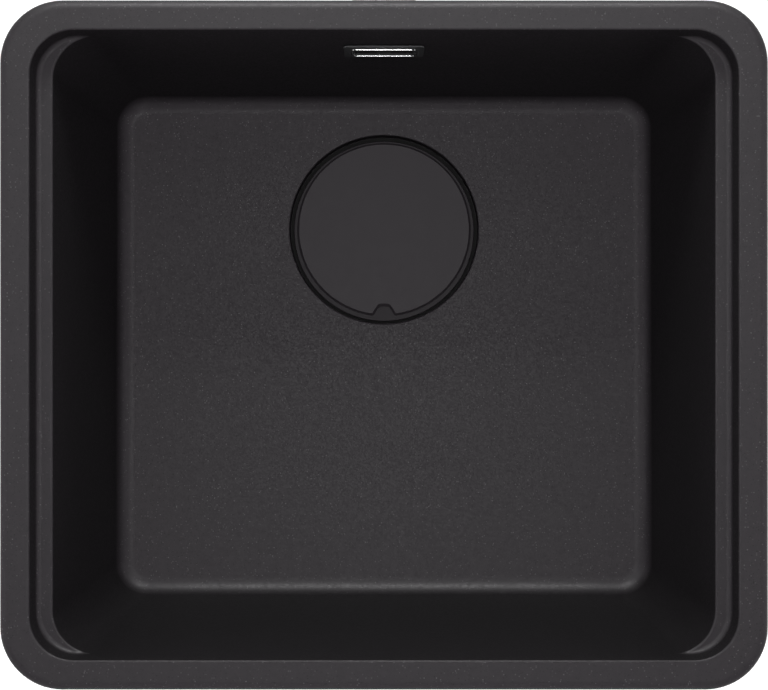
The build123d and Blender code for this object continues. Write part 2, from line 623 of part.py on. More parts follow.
def union_nut():
    """A union nut about the Z axis, mouth up: it holds the hose's collar against the spigot above it."""
    lip_top = -UNION_SEAL - COLLAR_LENGTH - COLLAR_STEP
    bottom = lip_top - UNION_LIP
    nut = disc(UNION_R, bottom, UNION_SKIRT)
    grip = Pos(UNION_R, 0, 0) * disc(UNION_GRIP_R, bottom, UNION_SKIRT)
    nut += [Rot(0, 0, 360 * k / UNION_GRIPS) * grip for k in range(UNION_GRIPS)]
    nut -= disc(SPIGOT_R + THREAD_FIT, lip_top, UNION_SKIRT)
    return nut - disc(UNION_LIP_R, bottom, lip_top)


def at_elbow_spigot(shape):
    """A shape made about Z below zero, moved under the elbow's spigot."""
    return Pos(0, HOSE_DROP_Y, SPIGOT_END) * shape


def at_waste_inlet(shape):
    """A shape made about Z below zero, turned to continue the waste body's inlet."""
    return Pos(0, INLET_END_Y, HOSE_INLET_Z) * Rot(90, 0, 0) * shape


def hose_seals():
    """The two flat seals in the hose's unions."""
    seal = ring(HOSE_CREST_R, HOSE_BORE_R, -UNION_SEAL, 0)
    return [at_elbow_spigot(seal), at_waste_inlet(seal)]


def build():
    """All sub-parts of the sink by node name."""
    parts = {
        "basin": basin(),
        "clamp_inserts": clamp_inserts(),
        "drain_cover": drain_cover(),
        "cover_pads": cover_pads(),
        "waste_flange": waste_flange(),
        "flange_seal": at_drain(ring(FLANGE_SEAL_R, BRIM_R - BRIM_BEAD - 2, RECESS_BOTTOM, BRIM_UNDERSIDE)),
        "body_seal": at_drain(ring(BODY_FLANGE_R - 2, DRAIN_HOLE_R + 2, BODY_TOP, DRAIN_BOSS_BOTTOM)),
        "waste_body": waste_body(),
        "waste_tail": waste_tail(),
        "waste_bolt": waste_bolt(),
        "bolt_insert": at_drain(ring(INSERT_R, BOLT_R + THREAD_FIT, BRIDGE_BOTTOM, BRIDGE_TOP)),
        "strainer_basket": strainer_basket(),
        "basket_bush": basket_bush(),
        "plug_knob": plug_knob(),
        "plug_stem": plug_stem(),
        "overflow_plate": overflow_plate(),
        "overflow_bezel": overflow_bezel(),
        "overflow_screw": overflow_screw(),
        "overflow_seal": overflow_seal(),
        "overflow_elbow": overflow_elbow(),
        "overflow_hose": overflow_hose(),
        "hose_nut_top": at_elbow_spigot(union_nut()),
        "hose_nut_bottom": at_waste_inlet(union_nut()),
        "hose_seals": hose_seals(),
    }
    seal_bottom = PLUG_SEAL_TOP - PLUG_SEAL_THICKNESS
    parts["plug_seal"] = at_drain(ring(PLUG_SEAL_R, STEM_R, seal_bottom, PLUG_SEAL_TOP))
    parts["plug_retainer"] = at_drain(ring(RETAINER_R, STEM_R, seal_bottom - RETAINER_HEIGHT, seal_bottom))
    for side, row, x, y in CLAMP_SPOTS:
        parts[f"clamp_screw_{side}_{row}"] = clamp_screw(x, y)
        parts[f"clamp_arm_{side}_{row}"] = clamp_arm(x, y)
    return parts


def main():
    """Builds every sub-part and writes each one to its own file."""
    os.makedirs("parts", exist_ok=True)
    for name, shape in build().items():
        solids = Compound(children=list(shape)) if isinstance(shape, list) else shape
        export_step(solids, f"parts/{name}.step")
    print(f"overflow hose length {hose_length():.1f} mm")


main()
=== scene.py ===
import logging
import math
from dataclasses import dataclass
from enum import Enum

import bpy
import numpy as np
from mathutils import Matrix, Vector


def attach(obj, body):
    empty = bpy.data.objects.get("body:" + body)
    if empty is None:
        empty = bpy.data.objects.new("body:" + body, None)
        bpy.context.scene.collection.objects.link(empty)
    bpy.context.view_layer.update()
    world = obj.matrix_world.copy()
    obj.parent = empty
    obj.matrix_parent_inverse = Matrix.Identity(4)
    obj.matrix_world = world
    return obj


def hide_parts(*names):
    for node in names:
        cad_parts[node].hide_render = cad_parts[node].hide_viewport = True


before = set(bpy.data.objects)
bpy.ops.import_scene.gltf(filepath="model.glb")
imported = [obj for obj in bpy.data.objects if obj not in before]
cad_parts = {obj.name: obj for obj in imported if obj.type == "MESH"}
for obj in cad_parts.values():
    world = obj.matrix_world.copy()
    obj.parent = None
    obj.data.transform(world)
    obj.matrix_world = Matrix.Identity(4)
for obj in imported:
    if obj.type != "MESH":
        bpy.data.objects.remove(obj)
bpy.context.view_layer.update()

LOG = logging.getLogger("granite_sink")
MM = 0.001
ARC_STEPS = 16
SIDE_STEPS = 48
CREASE_DEGREES = 40.0
CLOUD_SPAN = (0.35, 0.65)
# Ledges and the step under them fade out where |cos t| of the wall's normal falls below this.
SIDE_REACH = 0.12
# Lays a piece down: what pointed along -Z then points along +Y.
LAID = [[1, 0, 0], [0, 0, -1], [0, 1, 0]]
Pair = tuple[float, float]
Place = tuple[float, float, float]
Colour = tuple[float, float, float, float]
Tree, Node, Socket = bpy.types.NodeTree, bpy.types.Node, bpy.types.NodeSocket
Material = bpy.types.Material


class Body(str, Enum):
    """Bodies of the frame that single pieces ride on."""

    SINK = "sink"
    PLUG = "plug"
    COVER = "cover"


class Slot(str, Enum):
    """Material slots of the record, listed with the pieces of this scene; the script does not use them."""

    GRANITE = "granite_composite"
    LID = "lid_coating"
    FLANGE = "flange_coating"
    PLATE = "plate_coating"
    CHROME = "bezel_chrome"
    ARM = "clamp_steel"
    SCREW = "screw_steel"
    WASTE = "waste_plastic"
    NUT = "nut_plastic"
    KNOB = "knob_plastic"
    HOSE = "hose_plastic"
    RUBBER = "seal_rubber"


class Side(Enum):
    """Sides of the bowl that carry worktop clamps, with their sign in X."""

    LEFT = -1
    RIGHT = 1


class Row(Enum):
    """Clamp rows along a side, with their place in Y in millimetres."""

    FRONT = -120.0
    MIDDLE = 0.0
    BACK = 120.0


SPOTS = [(side, row) for side in Side for row in Row]


def linear(colour: str) -> Colour:
    """Turns an sRGB hex colour into linear RGBA.

    Args:
        colour: Hex digits such as "3A373A".

    Returns:
        Linear red, green, blue and an alpha of 1.
    """
    parts = np.array([int(colour[k : k + 2], 16) for k in (0, 2, 4)]) / 255.0
    values = np.where(parts <= 0.04045, parts / 12.92, ((parts + 0.055) / 1.055) ** 2.4)
    return (*values.tolist(), 1.0)


def add_node(tree: Tree, kind: str, inputs: dict | None = None, **settings: object) -> Node:
    """Adds a node, sets its properties and fills or links its inputs.

    Args:
        tree: The node tree to add to.
        kind: Type name of the node.
        inputs: Socket name or index to a value, or to the output socket to link.
        settings: Properties of the node itself.

    Returns:
        The new node.
    """
    made = tree.nodes.new(kind)
    for key, value in settings.items():
        setattr(made, key, value)
    for key, value in (inputs or {}).items():
        if isinstance(value, Socket):
            tree.links.new(value, made.inputs[key])
        else:
            made.inputs[key].default_value = value
    return made


def span(tree: Tree, value: Socket, source: Pair, target: Pair) -> Socket:
    """Maps a value from its low and high to those of the target, clamped."""
    ends = dict(zip(("From Min", "From Max", "To Min", "To Max"), (*source, *target)))
    return add_node(tree, "ShaderNodeMapRange", {"Value": value, **ends}).outputs["Result"]


def mix(tree: Tree, share: Socket, first: Socket | Colour, second: Colour) -> Socket:
    """Mixes two colours: the first where the share is 0, the second where it is 1."""
    return add_node(tree, "ShaderNodeMix", {0: share, 6: first, 7: second}, data_type="RGBA").outputs[2]


def calc(tree: Tree, operation: str, first: Socket, second: Socket | float) -> Socket:
    """Adds a sum, product or other operation on two values."""
    return add_node(tree, "ShaderNodeMath", {0: first, 1: second}, operation=operation).outputs[0]


@dataclass(frozen=True)
class Finish:
    """A surface finish: a base colour clouded by a noise pattern, with its own roughness and relief.

    Pattern and relief sizes are real millimetres; stretch lengthens the pattern along X, Y and Z.
    """

    name: str
    colour: str
    cloud: str
    roughness: float
    metallic: float = 0.0
    ior: float = 1.5
    specular: float = 0.5
    pattern_mm: float = 6.0
    stretch: Place = (1.0, 1.0, 1.0)
    roughness_swing: float = 0.06
    relief_mm: float = 0.01
    grain_mm: float = 0.5

    def build(self) -> Material:
        """Makes the material.

        Returns:
            A material whose colour, roughness and bump all come from object coordinates.
        """
        material = bpy.data.materials.new(self.name)
        material.use_nodes = True
        tree = material.node_tree
        shader = tree.nodes["Principled BSDF"]
        shader.inputs["Metallic"].default_value = self.metallic
        shader.inputs["IOR"].default_value = self.ior
        shader.inputs["Specular IOR Level"].default_value = self.specular
        place = add_node(tree, "ShaderNodeTexCoord").outputs["Object"]
        self.dress(tree, shader, place)
        return material

    def noise(self, tree: Tree, place: Socket, size_mm: float, detail: float = 3.0) -> Socket:
        """Adds a noise pattern of a real size.

        Args:
            tree: The material's node tree.
            place: Coordinates to read.
            size_mm: Size of one blotch in millimetres.
            detail: Octaves of finer noise on top.

        Returns:
            The output socket with values round 0.5.
        """
        scale = tuple(1.0 / (size_mm * MM * s) for s in self.stretch)
        mapped = add_node(tree, "ShaderNodeMapping", {"Vector": place, "Scale": scale}).outputs[0]
        inputs = {"Vector": mapped, "Scale": 1.0, "Detail": detail}
        return add_node(tree, "ShaderNodeTexNoise", inputs).outputs[0]

    def relief(self, tree: Tree, shader: Node, height: Socket) -> None:
        """Turns a height pattern from 0 to 1, which stands for the full relief, into the shader's bump."""
        add = {"Height": height, "Distance": self.relief_mm * MM, "Strength": 1.0}
        tree.links.new(add_node(tree, "ShaderNodeBump", add).outputs[0], shader.inputs["Normal"])

    def ground(self, tree: Tree, pattern: Socket) -> Socket:
        """The base colour, clouded by a pattern."""
        share = span(tree, pattern, CLOUD_SPAN, (0.0, 1.0))
        return mix(tree, share, linear(self.colour), linear(self.cloud))

    def dress(self, tree: Tree, shader: Node, place: Socket) -> None:
        """Wires colour, roughness and bump to the shader.

        Args:
            tree: The material's node tree.
            shader: The surface shader.
            place: Object coordinates.
        """
        cloud = self.noise(tree, place, self.pattern_mm)
        tree.links.new(self.ground(tree, cloud), shader.inputs["Base Color"])
        ends = (self.roughness - self.roughness_swing, self.roughness + self.roughness_swing)
        tree.links.new(span(tree, cloud, (0.3, 0.7), ends), shader.inputs["Roughness"])
        self.relief(tree, shader, self.noise(tree, place, self.grain_mm, 2.0))


@dataclass(frozen=True)
class GraniteComposite(Finish):
    """Cast quartz sand in dark resin: a matt ground with fine pale and black grains.

    Real grains are 0.1 to 0.7 mm; they are drawn in 1.1 mm cells, since finer ones vanish at the
    photograph's scale.
    """

    pale: str = "5A575A"
    black: str = "211E21"
    cell_mm: float = 1.1
    pale_share: float = 0.08
    black_share: float = 0.22
    sparkle: float = 0.08

    def dress(self, tree: Tree, shader: Node, place: Socket) -> None:
        """Wires grains of two colours over a clouded ground.

        Args:
            tree: The material's node tree.
            shader: The surface shader.
            place: Object coordinates.
        """
        colour = self.ground(tree, self.noise(tree, place, self.pattern_mm))
        cell = {"Vector": place, "Scale": 1.0 / (self.cell_mm * MM)}
        grains = add_node(tree, "ShaderNodeTexVoronoi", cell)
        pick = add_node(tree, "ShaderNodeSeparateColor", {0: grains.outputs["Color"]})
        core = span(tree, grains.outputs["Distance"], (0.25, 0.55), (1.0, 0.0))
        grain_kinds = ((0, self.black, self.black_share), (1, self.pale, self.pale_share))
        for channel, grain, reach in grain_kinds:
            chosen = span(tree, pick.outputs[channel], (1.0 - reach, 1.0), (0.0, 1.0))
            colour = mix(tree, calc(tree, "MULTIPLY", chosen, core), colour, linear(grain))
        tree.links.new(colour, shader.inputs["Base Color"])
        ends = (self.roughness - self.sparkle, self.roughness + self.sparkle)
        tree.links.new(span(tree, pick.outputs[2], (0.0, 1.0), ends), shader.inputs["Roughness"])
        self.relief(tree, shader, self.noise(tree, place, self.grain_mm, 2.0))


@dataclass
class Shell:
    """Part of a mesh: points in millimetres and the faces between them, facing outwards."""

    points: np.ndarray
    quads: np.ndarray
    tris: np.ndarray

    def volume(self) -> float:
        """Volume inside the shell, from the triple products a . (b x c) / 6 of its triangles.

        Returns:
            Cubic millimetres, negative where the faces look inwards.
        """
        halves = [self.quads[:, [0, 1, 2]], self.quads[:, [0, 2, 3]], self.tris]
        a, b, c = (self.points[np.concatenate(halves)[:, k]] - self.points[0] for k in range(3))
        return float(np.einsum("ij,ij->", a, np.cross(b, c)) / 6)

    def outward(self) -> "Shell":
        """The shell with its faces turned over, if they look inwards."""
        turned = Shell(self.points, self.quads[:, ::-1], self.tris[:, ::-1])
        return turned if self.volume() < 0 else self

    def moved(self, x: float = 0.0, y: float = 0.0, z: float = 0.0) -> "Shell":
        """A copy shifted by millimetres along each axis."""
        return Shell(self.points + np.array([x, y, z]), self.quads, self.tris)

    def turned(self, matrix: list[list[float]]) -> "Shell":
        """A copy turned about the origin by a rotation matrix."""
        return Shell(self.points @ np.array(matrix, float).T, self.quads, self.tris)

    def spun(self, *degrees: float) -> list["Shell"]:
        """Copies turned about the Z axis."""
        turns = [(math.cos(angle), math.sin(angle)) for angle in np.radians(degrees)]
        return [self.turned([[c, -s, 0], [s, c, 0], [0, 0, 1]]) for c, s in turns]


def skin(loops: np.ndarray, ring: bool = False) -> Shell:
    """Skin over loops P(j, u), each closed in u.

    Args:
        loops: Points of shape (loops, samples, 3).
        ring: True joins the last loop to the first, False closes both ends with a fan.

    Returns:
        A closed shell.
    """
    rows, cols = loops.shape[:2]
    index = np.arange(rows * cols).reshape(rows, cols)
    low = index if ring else index[:-1]
    high = np.roll(index, -1, axis=0) if ring else index[1:]
    beside = [np.roll(part, -1, axis=1) for part in (low, high)]
    quads = np.stack([low, beside[0], beside[1], high], axis=-1).reshape(-1, 4)
    points, tris = loops.reshape(-1, 3), np.zeros((0, 3), int)
    if not ring:
        points = np.concatenate([points, loops[[0, -1]].mean(axis=1)])
        first, last = index[0], index[-1]
        centre = np.full(cols, rows * cols)
        tris = np.concatenate(
            [
                np.stack([np.roll(first, -1), first, centre], axis=-1),
                np.stack([last, np.roll(last, -1), centre + 1], axis=-1),
            ]
        )
    return Shell(points, quads, tris).outward()


def smoothstep(value: np.ndarray) -> np.ndarray:
    """The cubic 3t^2 - 2t^3 of a value held between 0 and 1."""
    t = np.clip(value, 0.0, 1.0)
    return t * t * (3.0 - 2.0 * t)


def rounded_rectangles(
    half_x: np.ndarray, half_y: np.ndarray, radius: np.ndarray, arc: int = ARC_STEPS, side: int = SIDE_STEPS
) -> np.ndarray:
    """Outlines of rounded rectangles: quarter circles c + r (cos t, sin t) joined by straight runs.

    Args:
        half_x: Half lengths, one for each outline.
        half_y: Half breadths.
        radius: Corner radii.
        arc: Steps in each corner.
        side: Steps in each straight run.

    Returns:
        Points of shape (outlines, samples, 2).
    """
    a, b, r = (np.asarray(v, float).reshape(-1, 1, 1) for v in np.broadcast_arrays(half_x, half_y, radius))
    turn = (np.arange(4)[:, None] + np.linspace(0, 1, arc + 1)) * np.pi / 2
    sign_x, sign_y = np.array([1, -1, -1, 1])[:, None], np.array([1, 1, -1, -1])[:, None]
    corner = np.stack([sign_x * (a - r) + r * np.cos(turn), sign_y * (b - r) + r * np.sin(turn)], axis=-1)
    start, stop = corner[:, :, -1:], np.roll(corner[:, :, :1], -1, axis=1)
    share = np.linspace(0, 1, side + 1)[1:-1, None]
    run = start * (1 - share) + stop * share
    return np.concatenate([corner, run], axis=2).reshape(len(a), -1, 2)


def set_in(
    half: Pair, corner: float, inset: np.ndarray, arc: int = ARC_STEPS, side: int = SIDE_STEPS
) -> np.ndarray:
    """Outlines of one rounded rectangle, each set in along its normal; the corner radii shrink with it."""
    return rounded_rectangles(half[0] - inset, half[1] - inset, corner - inset, arc, side)


def quarter(radius: float, steps: int) -> tuple[np.ndarray, np.ndarray]:
    """A quarter round: r (1 - sin t) and r (1 - cos t) for t from 0 to 90 degrees."""
    t = np.linspace(0, np.pi / 2, steps)
    return radius * (1 - np.sin(t)), radius * (1 - np.cos(t))


def corner_turns(arc: int = ARC_STEPS, side: int = SIDE_STEPS) -> np.ndarray:
    """Direction of the outward normal at each sample of a rounded rectangle.

    Args:
        arc: Steps in each corner.
        side: Steps in each straight run.

    Returns:
        Angles in radians.
    """
    corner = (np.arange(4)[:, None] + np.linspace(0, 1, arc + 1)) * np.pi / 2
    run = np.repeat((np.arange(4)[:, None] + 1.0) * np.pi / 2, side - 1, axis=1)
    return np.concatenate([corner, run], axis=1).reshape(-1)


def lifted(outlines: np.ndarray, height: np.ndarray) -> np.ndarray:
    """Gives plane outlines their height in Z.

    Args:
        outlines: Points of shape (loops, samples, 2).
        height: One Z for each loop, or for each point.

    Returns:
        Points of shape (loops, samples, 3).
    """
    z = np.asarray(height, float)
    z = np.broadcast_to(z[:, None] if z.ndim == 1 else z, outlines.shape[:2])
    return np.concatenate([outlines, z[..., None]], axis=-1)


def on_wall(outlines: np.ndarray, depth: np.ndarray, height: float) -> np.ndarray:
    """Stands outlines up on the back wall: (x, z) at each loop's Y, the middle at a height."""
    y = np.broadcast_to(np.asarray(depth, float)[:, None], outlines.shape[:2])
    return np.stack([outlines[..., 0], y, outlines[..., 1] + height], axis=-1)


def circles(radius: np.ndarray, angles: np.ndarray) -> np.ndarray:
    """Circles r (cos t, sin t) about the origin, of shape (circles, samples, 2)."""
    spokes = np.stack([np.cos(angles), np.sin(angles)], axis=-1)
    return np.asarray(radius, float)[:, None, None] * spokes


def polar(radius: np.ndarray, angles: np.ndarray, height: np.ndarray) -> np.ndarray:
    """Points (r cos t, r sin t, z) of shape (loops, samples, 3), with a radius for each point."""
    height = np.broadcast_to(height, radius.shape)
    return np.stack([radius * np.cos(angles), radius * np.sin(angles), height], axis=-1)


def even_angles(steps: int) -> np.ndarray:
    """Angles in radians, spread evenly over a turn."""
    return np.arange(steps) * 2 * np.pi / steps


def rounded_polygon(corners: list[Place], steps: int = 5) -> np.ndarray:
    """A polygon whose corners are arcs c + r slerp(u, v), tangent to both sides.

    Args:
        corners: Both coordinates and the radius of each corner, in order.
        steps: Steps in each arc.

    Returns:
        Points of the closed outline, of shape (samples, 2).
    """
    p, r = np.split(np.array(corners, float), [2], axis=1)
    to_last, to_next = np.roll(p, 1, axis=0) - p, np.roll(p, -1, axis=0) - p
    a = to_last / np.linalg.norm(to_last, axis=1, keepdims=True)
    b = to_next / np.linalg.norm(to_next, axis=1, keepdims=True)
    angle = np.arccos(np.clip((a * b).sum(axis=1, keepdims=True), -1, 1))
    middle = (a + b) / np.linalg.norm(a + b, axis=1, keepdims=True)
    centre = p + middle * r / np.sin(angle / 2)
    first, last = p + a * r / np.tan(angle / 2) - centre, p + b * r / np.tan(angle / 2) - centre
    sweep, t = (np.pi - angle)[:, None, :], np.linspace(0, 1, steps + 1)[None, :, None]
    spread = np.sin((1 - t) * sweep) * first[:, None] + np.sin(t * sweep) * last[:, None]
    return (centre[:, None] + spread / np.sin(sweep)).reshape(-1, 2)


def revolved(profile: np.ndarray, steps: int = 96) -> Shell:
    """A closed profile (r, z) turned about Z into a ring: P(j, t) = (r cos t, r sin t, z)."""
    return skin(lifted(circles(profile[:, 0], even_angles(steps)), profile[:, 1]), ring=True)


def washer(bore: float, radius: float, start: float, end: float, edges: Pair, steps: int) -> Shell:
    """A plain ring about the Z axis.

    Args:
        bore: Inner radius.
        radius: Outer radius.
        start: Height of one face.
        end: Height of the other face.
        edges: Rounding of the bore's edges and of the outer edges.
        steps: Steps round the axis.

    Returns:
        A ring-shaped shell.
    """
    inner, outer = edges
    section = [(bore, start, inner), (radius, start, outer), (radius, end, outer), (bore, end, inner)]
    return revolved(rounded_polygon(section), steps)


def half_moon(radius: float, reach: float, steps: int, shift: float) -> np.ndarray:
    """A segment of a circle: the arc r (sin t, cos t) for |t| up to the reach, and its chord.

    Args:
        radius: Radius of the arc.
        reach: Half of the arc's angle in radians.
        steps: Samples on the arc.
        shift: How far it is moved along -Y, so that the origin lies inside it.

    Returns:
        Points of the closed outline, of shape (samples, 2).
    """
    t = np.linspace(-reach, reach, steps)
    arc = np.stack([radius * np.sin(t), radius * np.cos(t) - shift], axis=-1)
    chord = np.linspace(arc[-1], arc[0], 12)[1:-1]
    return np.concatenate([arc, chord])[::-1]


def stacked(outline: np.ndarray, levels: list[Pair]) -> Shell:
    """A plate: its outline set in along its own normal and lifted, level by level, with closed faces.

    The faces are filled by copies of the end outlines drawn together towards the middle.

    Args:
        outline: Points of shape (samples, 2), round the origin.
        levels: Inset and height of each level, from one face to the other.

    Returns:
        A closed shell.
    """
    along = np.roll(outline, -1, axis=0) - np.roll(outline, 1, axis=0)
    normal = np.stack([-along[:, 1], along[:, 0]], axis=-1) / np.linalg.norm(along, axis=1, keepdims=True)
    inset, height = (np.array(part, float) for part in zip(*levels))
    rings = outline[None] + inset[:, None, None] * normal[None]
    core = np.array([0.15, 0.5, 0.85, 0.97])[:, None, None]
    flat = np.concatenate([rings[:1] * core, rings, rings[-1:] * core[::-1]])
    z = np.concatenate([np.full(4, height[0]), height, np.full(4, height[-1])])
    return skin(lifted(flat, z))


def disc(radius: float, levels: list[Pair], steps: int) -> Shell:
    """A round plate about the Z axis, set in and lifted level by level."""
    return stacked(circles(np.array([radius]), even_angles(steps))[0], levels)


def box(length: float, breadth: float, bottom: float, top: float, edge: float = 0.4) -> Shell:
    """A bar with rounded edges.

    Args:
        length: Size along X.
        breadth: Size along Y.
        bottom: Lowest Z.
        top: Highest Z.
        edge: Radius of the edges.

    Returns:
        A closed shell.
    """
    outline = rounded_rectangles(length / 2, breadth / 2, edge, 3, 4)[0]
    inset, rise = quarter(edge, 4)
    levels = [*zip(inset, bottom + rise), *zip(inset[::-1], top - rise[::-1])]
    return stacked(outline, levels)


def threaded(
    radius: float, bore: float, bottom: float, top: float, pitch: float, depth: float, steps: int = 64
) -> Shell:
    """A tube with a screw thread: r(z, t) = R - d w(z / p - t / 2 pi), w a triangle wave with flats.

    Args:
        radius: Outer radius at the crests.
        bore: Inner radius, or 0 for a solid bar.
        bottom: Lowest Z.
        top: Highest Z.
        pitch: Rise of the thread in one turn.
        depth: Depth of the thread.
        steps: Steps round the axis.

    Returns:
        A closed shell.
    """
    z = np.linspace(bottom + depth, top - depth, int((top - bottom) / pitch * 8))
    angles = even_angles(steps)
    phase = z[:, None] / pitch - angles[None] / (2 * np.pi)
    wave = np.clip(1.5 * np.abs(2 * (phase % 1.0) - 1) - 0.25, 0, 1)
    r = radius - depth * wave
    loops = polar(r, angles, z[:, None])
    start = circles(np.array([radius - 1.2 * depth]), angles)
    parts = [lifted(start, np.array([bottom])), loops, lifted(start, np.array([top]))]
    if bore:
        inner = np.array([bore + 0.3, bore, bore, bore + 0.3])
        levels = np.array([top, top - 0.3, bottom + 0.3, bottom])
        parts.append(lifted(circles(inner, angles), levels))
    return skin(np.concatenate(parts), ring=bool(bore))


def add_object(name: str, data: bpy.types.ID) -> bpy.types.Object:
    """Puts a new object into the scene.

    Args:
        name: Name of the object.
        data: Its mesh, light or camera.

    Returns:
        The new object.
    """
    made = bpy.data.objects.new(name, data)
    bpy.context.scene.collection.objects.link(made)
    return made


def add_piece(
    name: str, shells: list[Shell], material: Material, body: str, nodes: tuple[str, ...]
) -> bpy.types.Object:
    """Makes one object from its shells, and ties it to the frame.

    Args:
        name: Name of the piece.
        shells: Closed shells in millimetres.
        material: Finish of the piece.
        body: Body that it rides on.
        nodes: CAD nodes that it stands for.

    Returns:
        The new object.
    """
    starts = np.cumsum([0] + [len(s.points) for s in shells[:-1]])
    parts = [part + at for s, at in zip(shells, starts) for part in (s.quads, s.tris)]
    faces = [row for part in parts for row in part.tolist()]
    mesh = bpy.data.meshes.new(name)
    mesh.from_pydata(np.concatenate([s.points for s in shells]) * MM, [], faces)
    piece = add_object(name, mesh)
    mesh.materials.append(material)
    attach(piece, body)
    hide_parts(*nodes)
    shade(piece)
    LOG.info("%s: %d faces", name, len(faces))
    return piece


def read_items(items: bpy.types.bpy_prop_collection, key: str, kind: type, width: int = 1) -> np.ndarray:
    """Reads one property of all items of a mesh.

    Args:
        items: Vertices, loops, polygons or triangles of the mesh.
        key: Name of the property.
        kind: Number type of the property.
        width: Numbers in each item.

    Returns:
        An array of shape (items, width).
    """
    values = np.zeros(len(items) * width, kind)
    items.foreach_get(key, values)
    return values.reshape(-1, width)


def shade(piece: bpy.types.Object) -> None:
    """Smooth shading that keeps sharp corners and flat faces.

    Args:
        piece: The object to shade.
    """
    piece.data.shade_smooth()
    piece.data.set_sharp_from_angle(angle=math.radians(CREASE_DEGREES))
    weighted = piece.modifiers.new("flat_faces", "WEIGHTED_NORMAL")
    weighted.keep_sharp = True


def dress_nodes(nodes: list[str], material: Material) -> None:
    """Gives CAD nodes that stay visible their finish.

    Args:
        nodes: Names of the CAD nodes.
        material: Finish for all of them.
    """
    for node in nodes:
        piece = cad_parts[node]
        if not piece.material_slots:
            piece.data.materials.append(material)
        for slot in piece.material_slots:
            slot.material = material
        LOG.info("%s: dressed as %s", node, material.name)


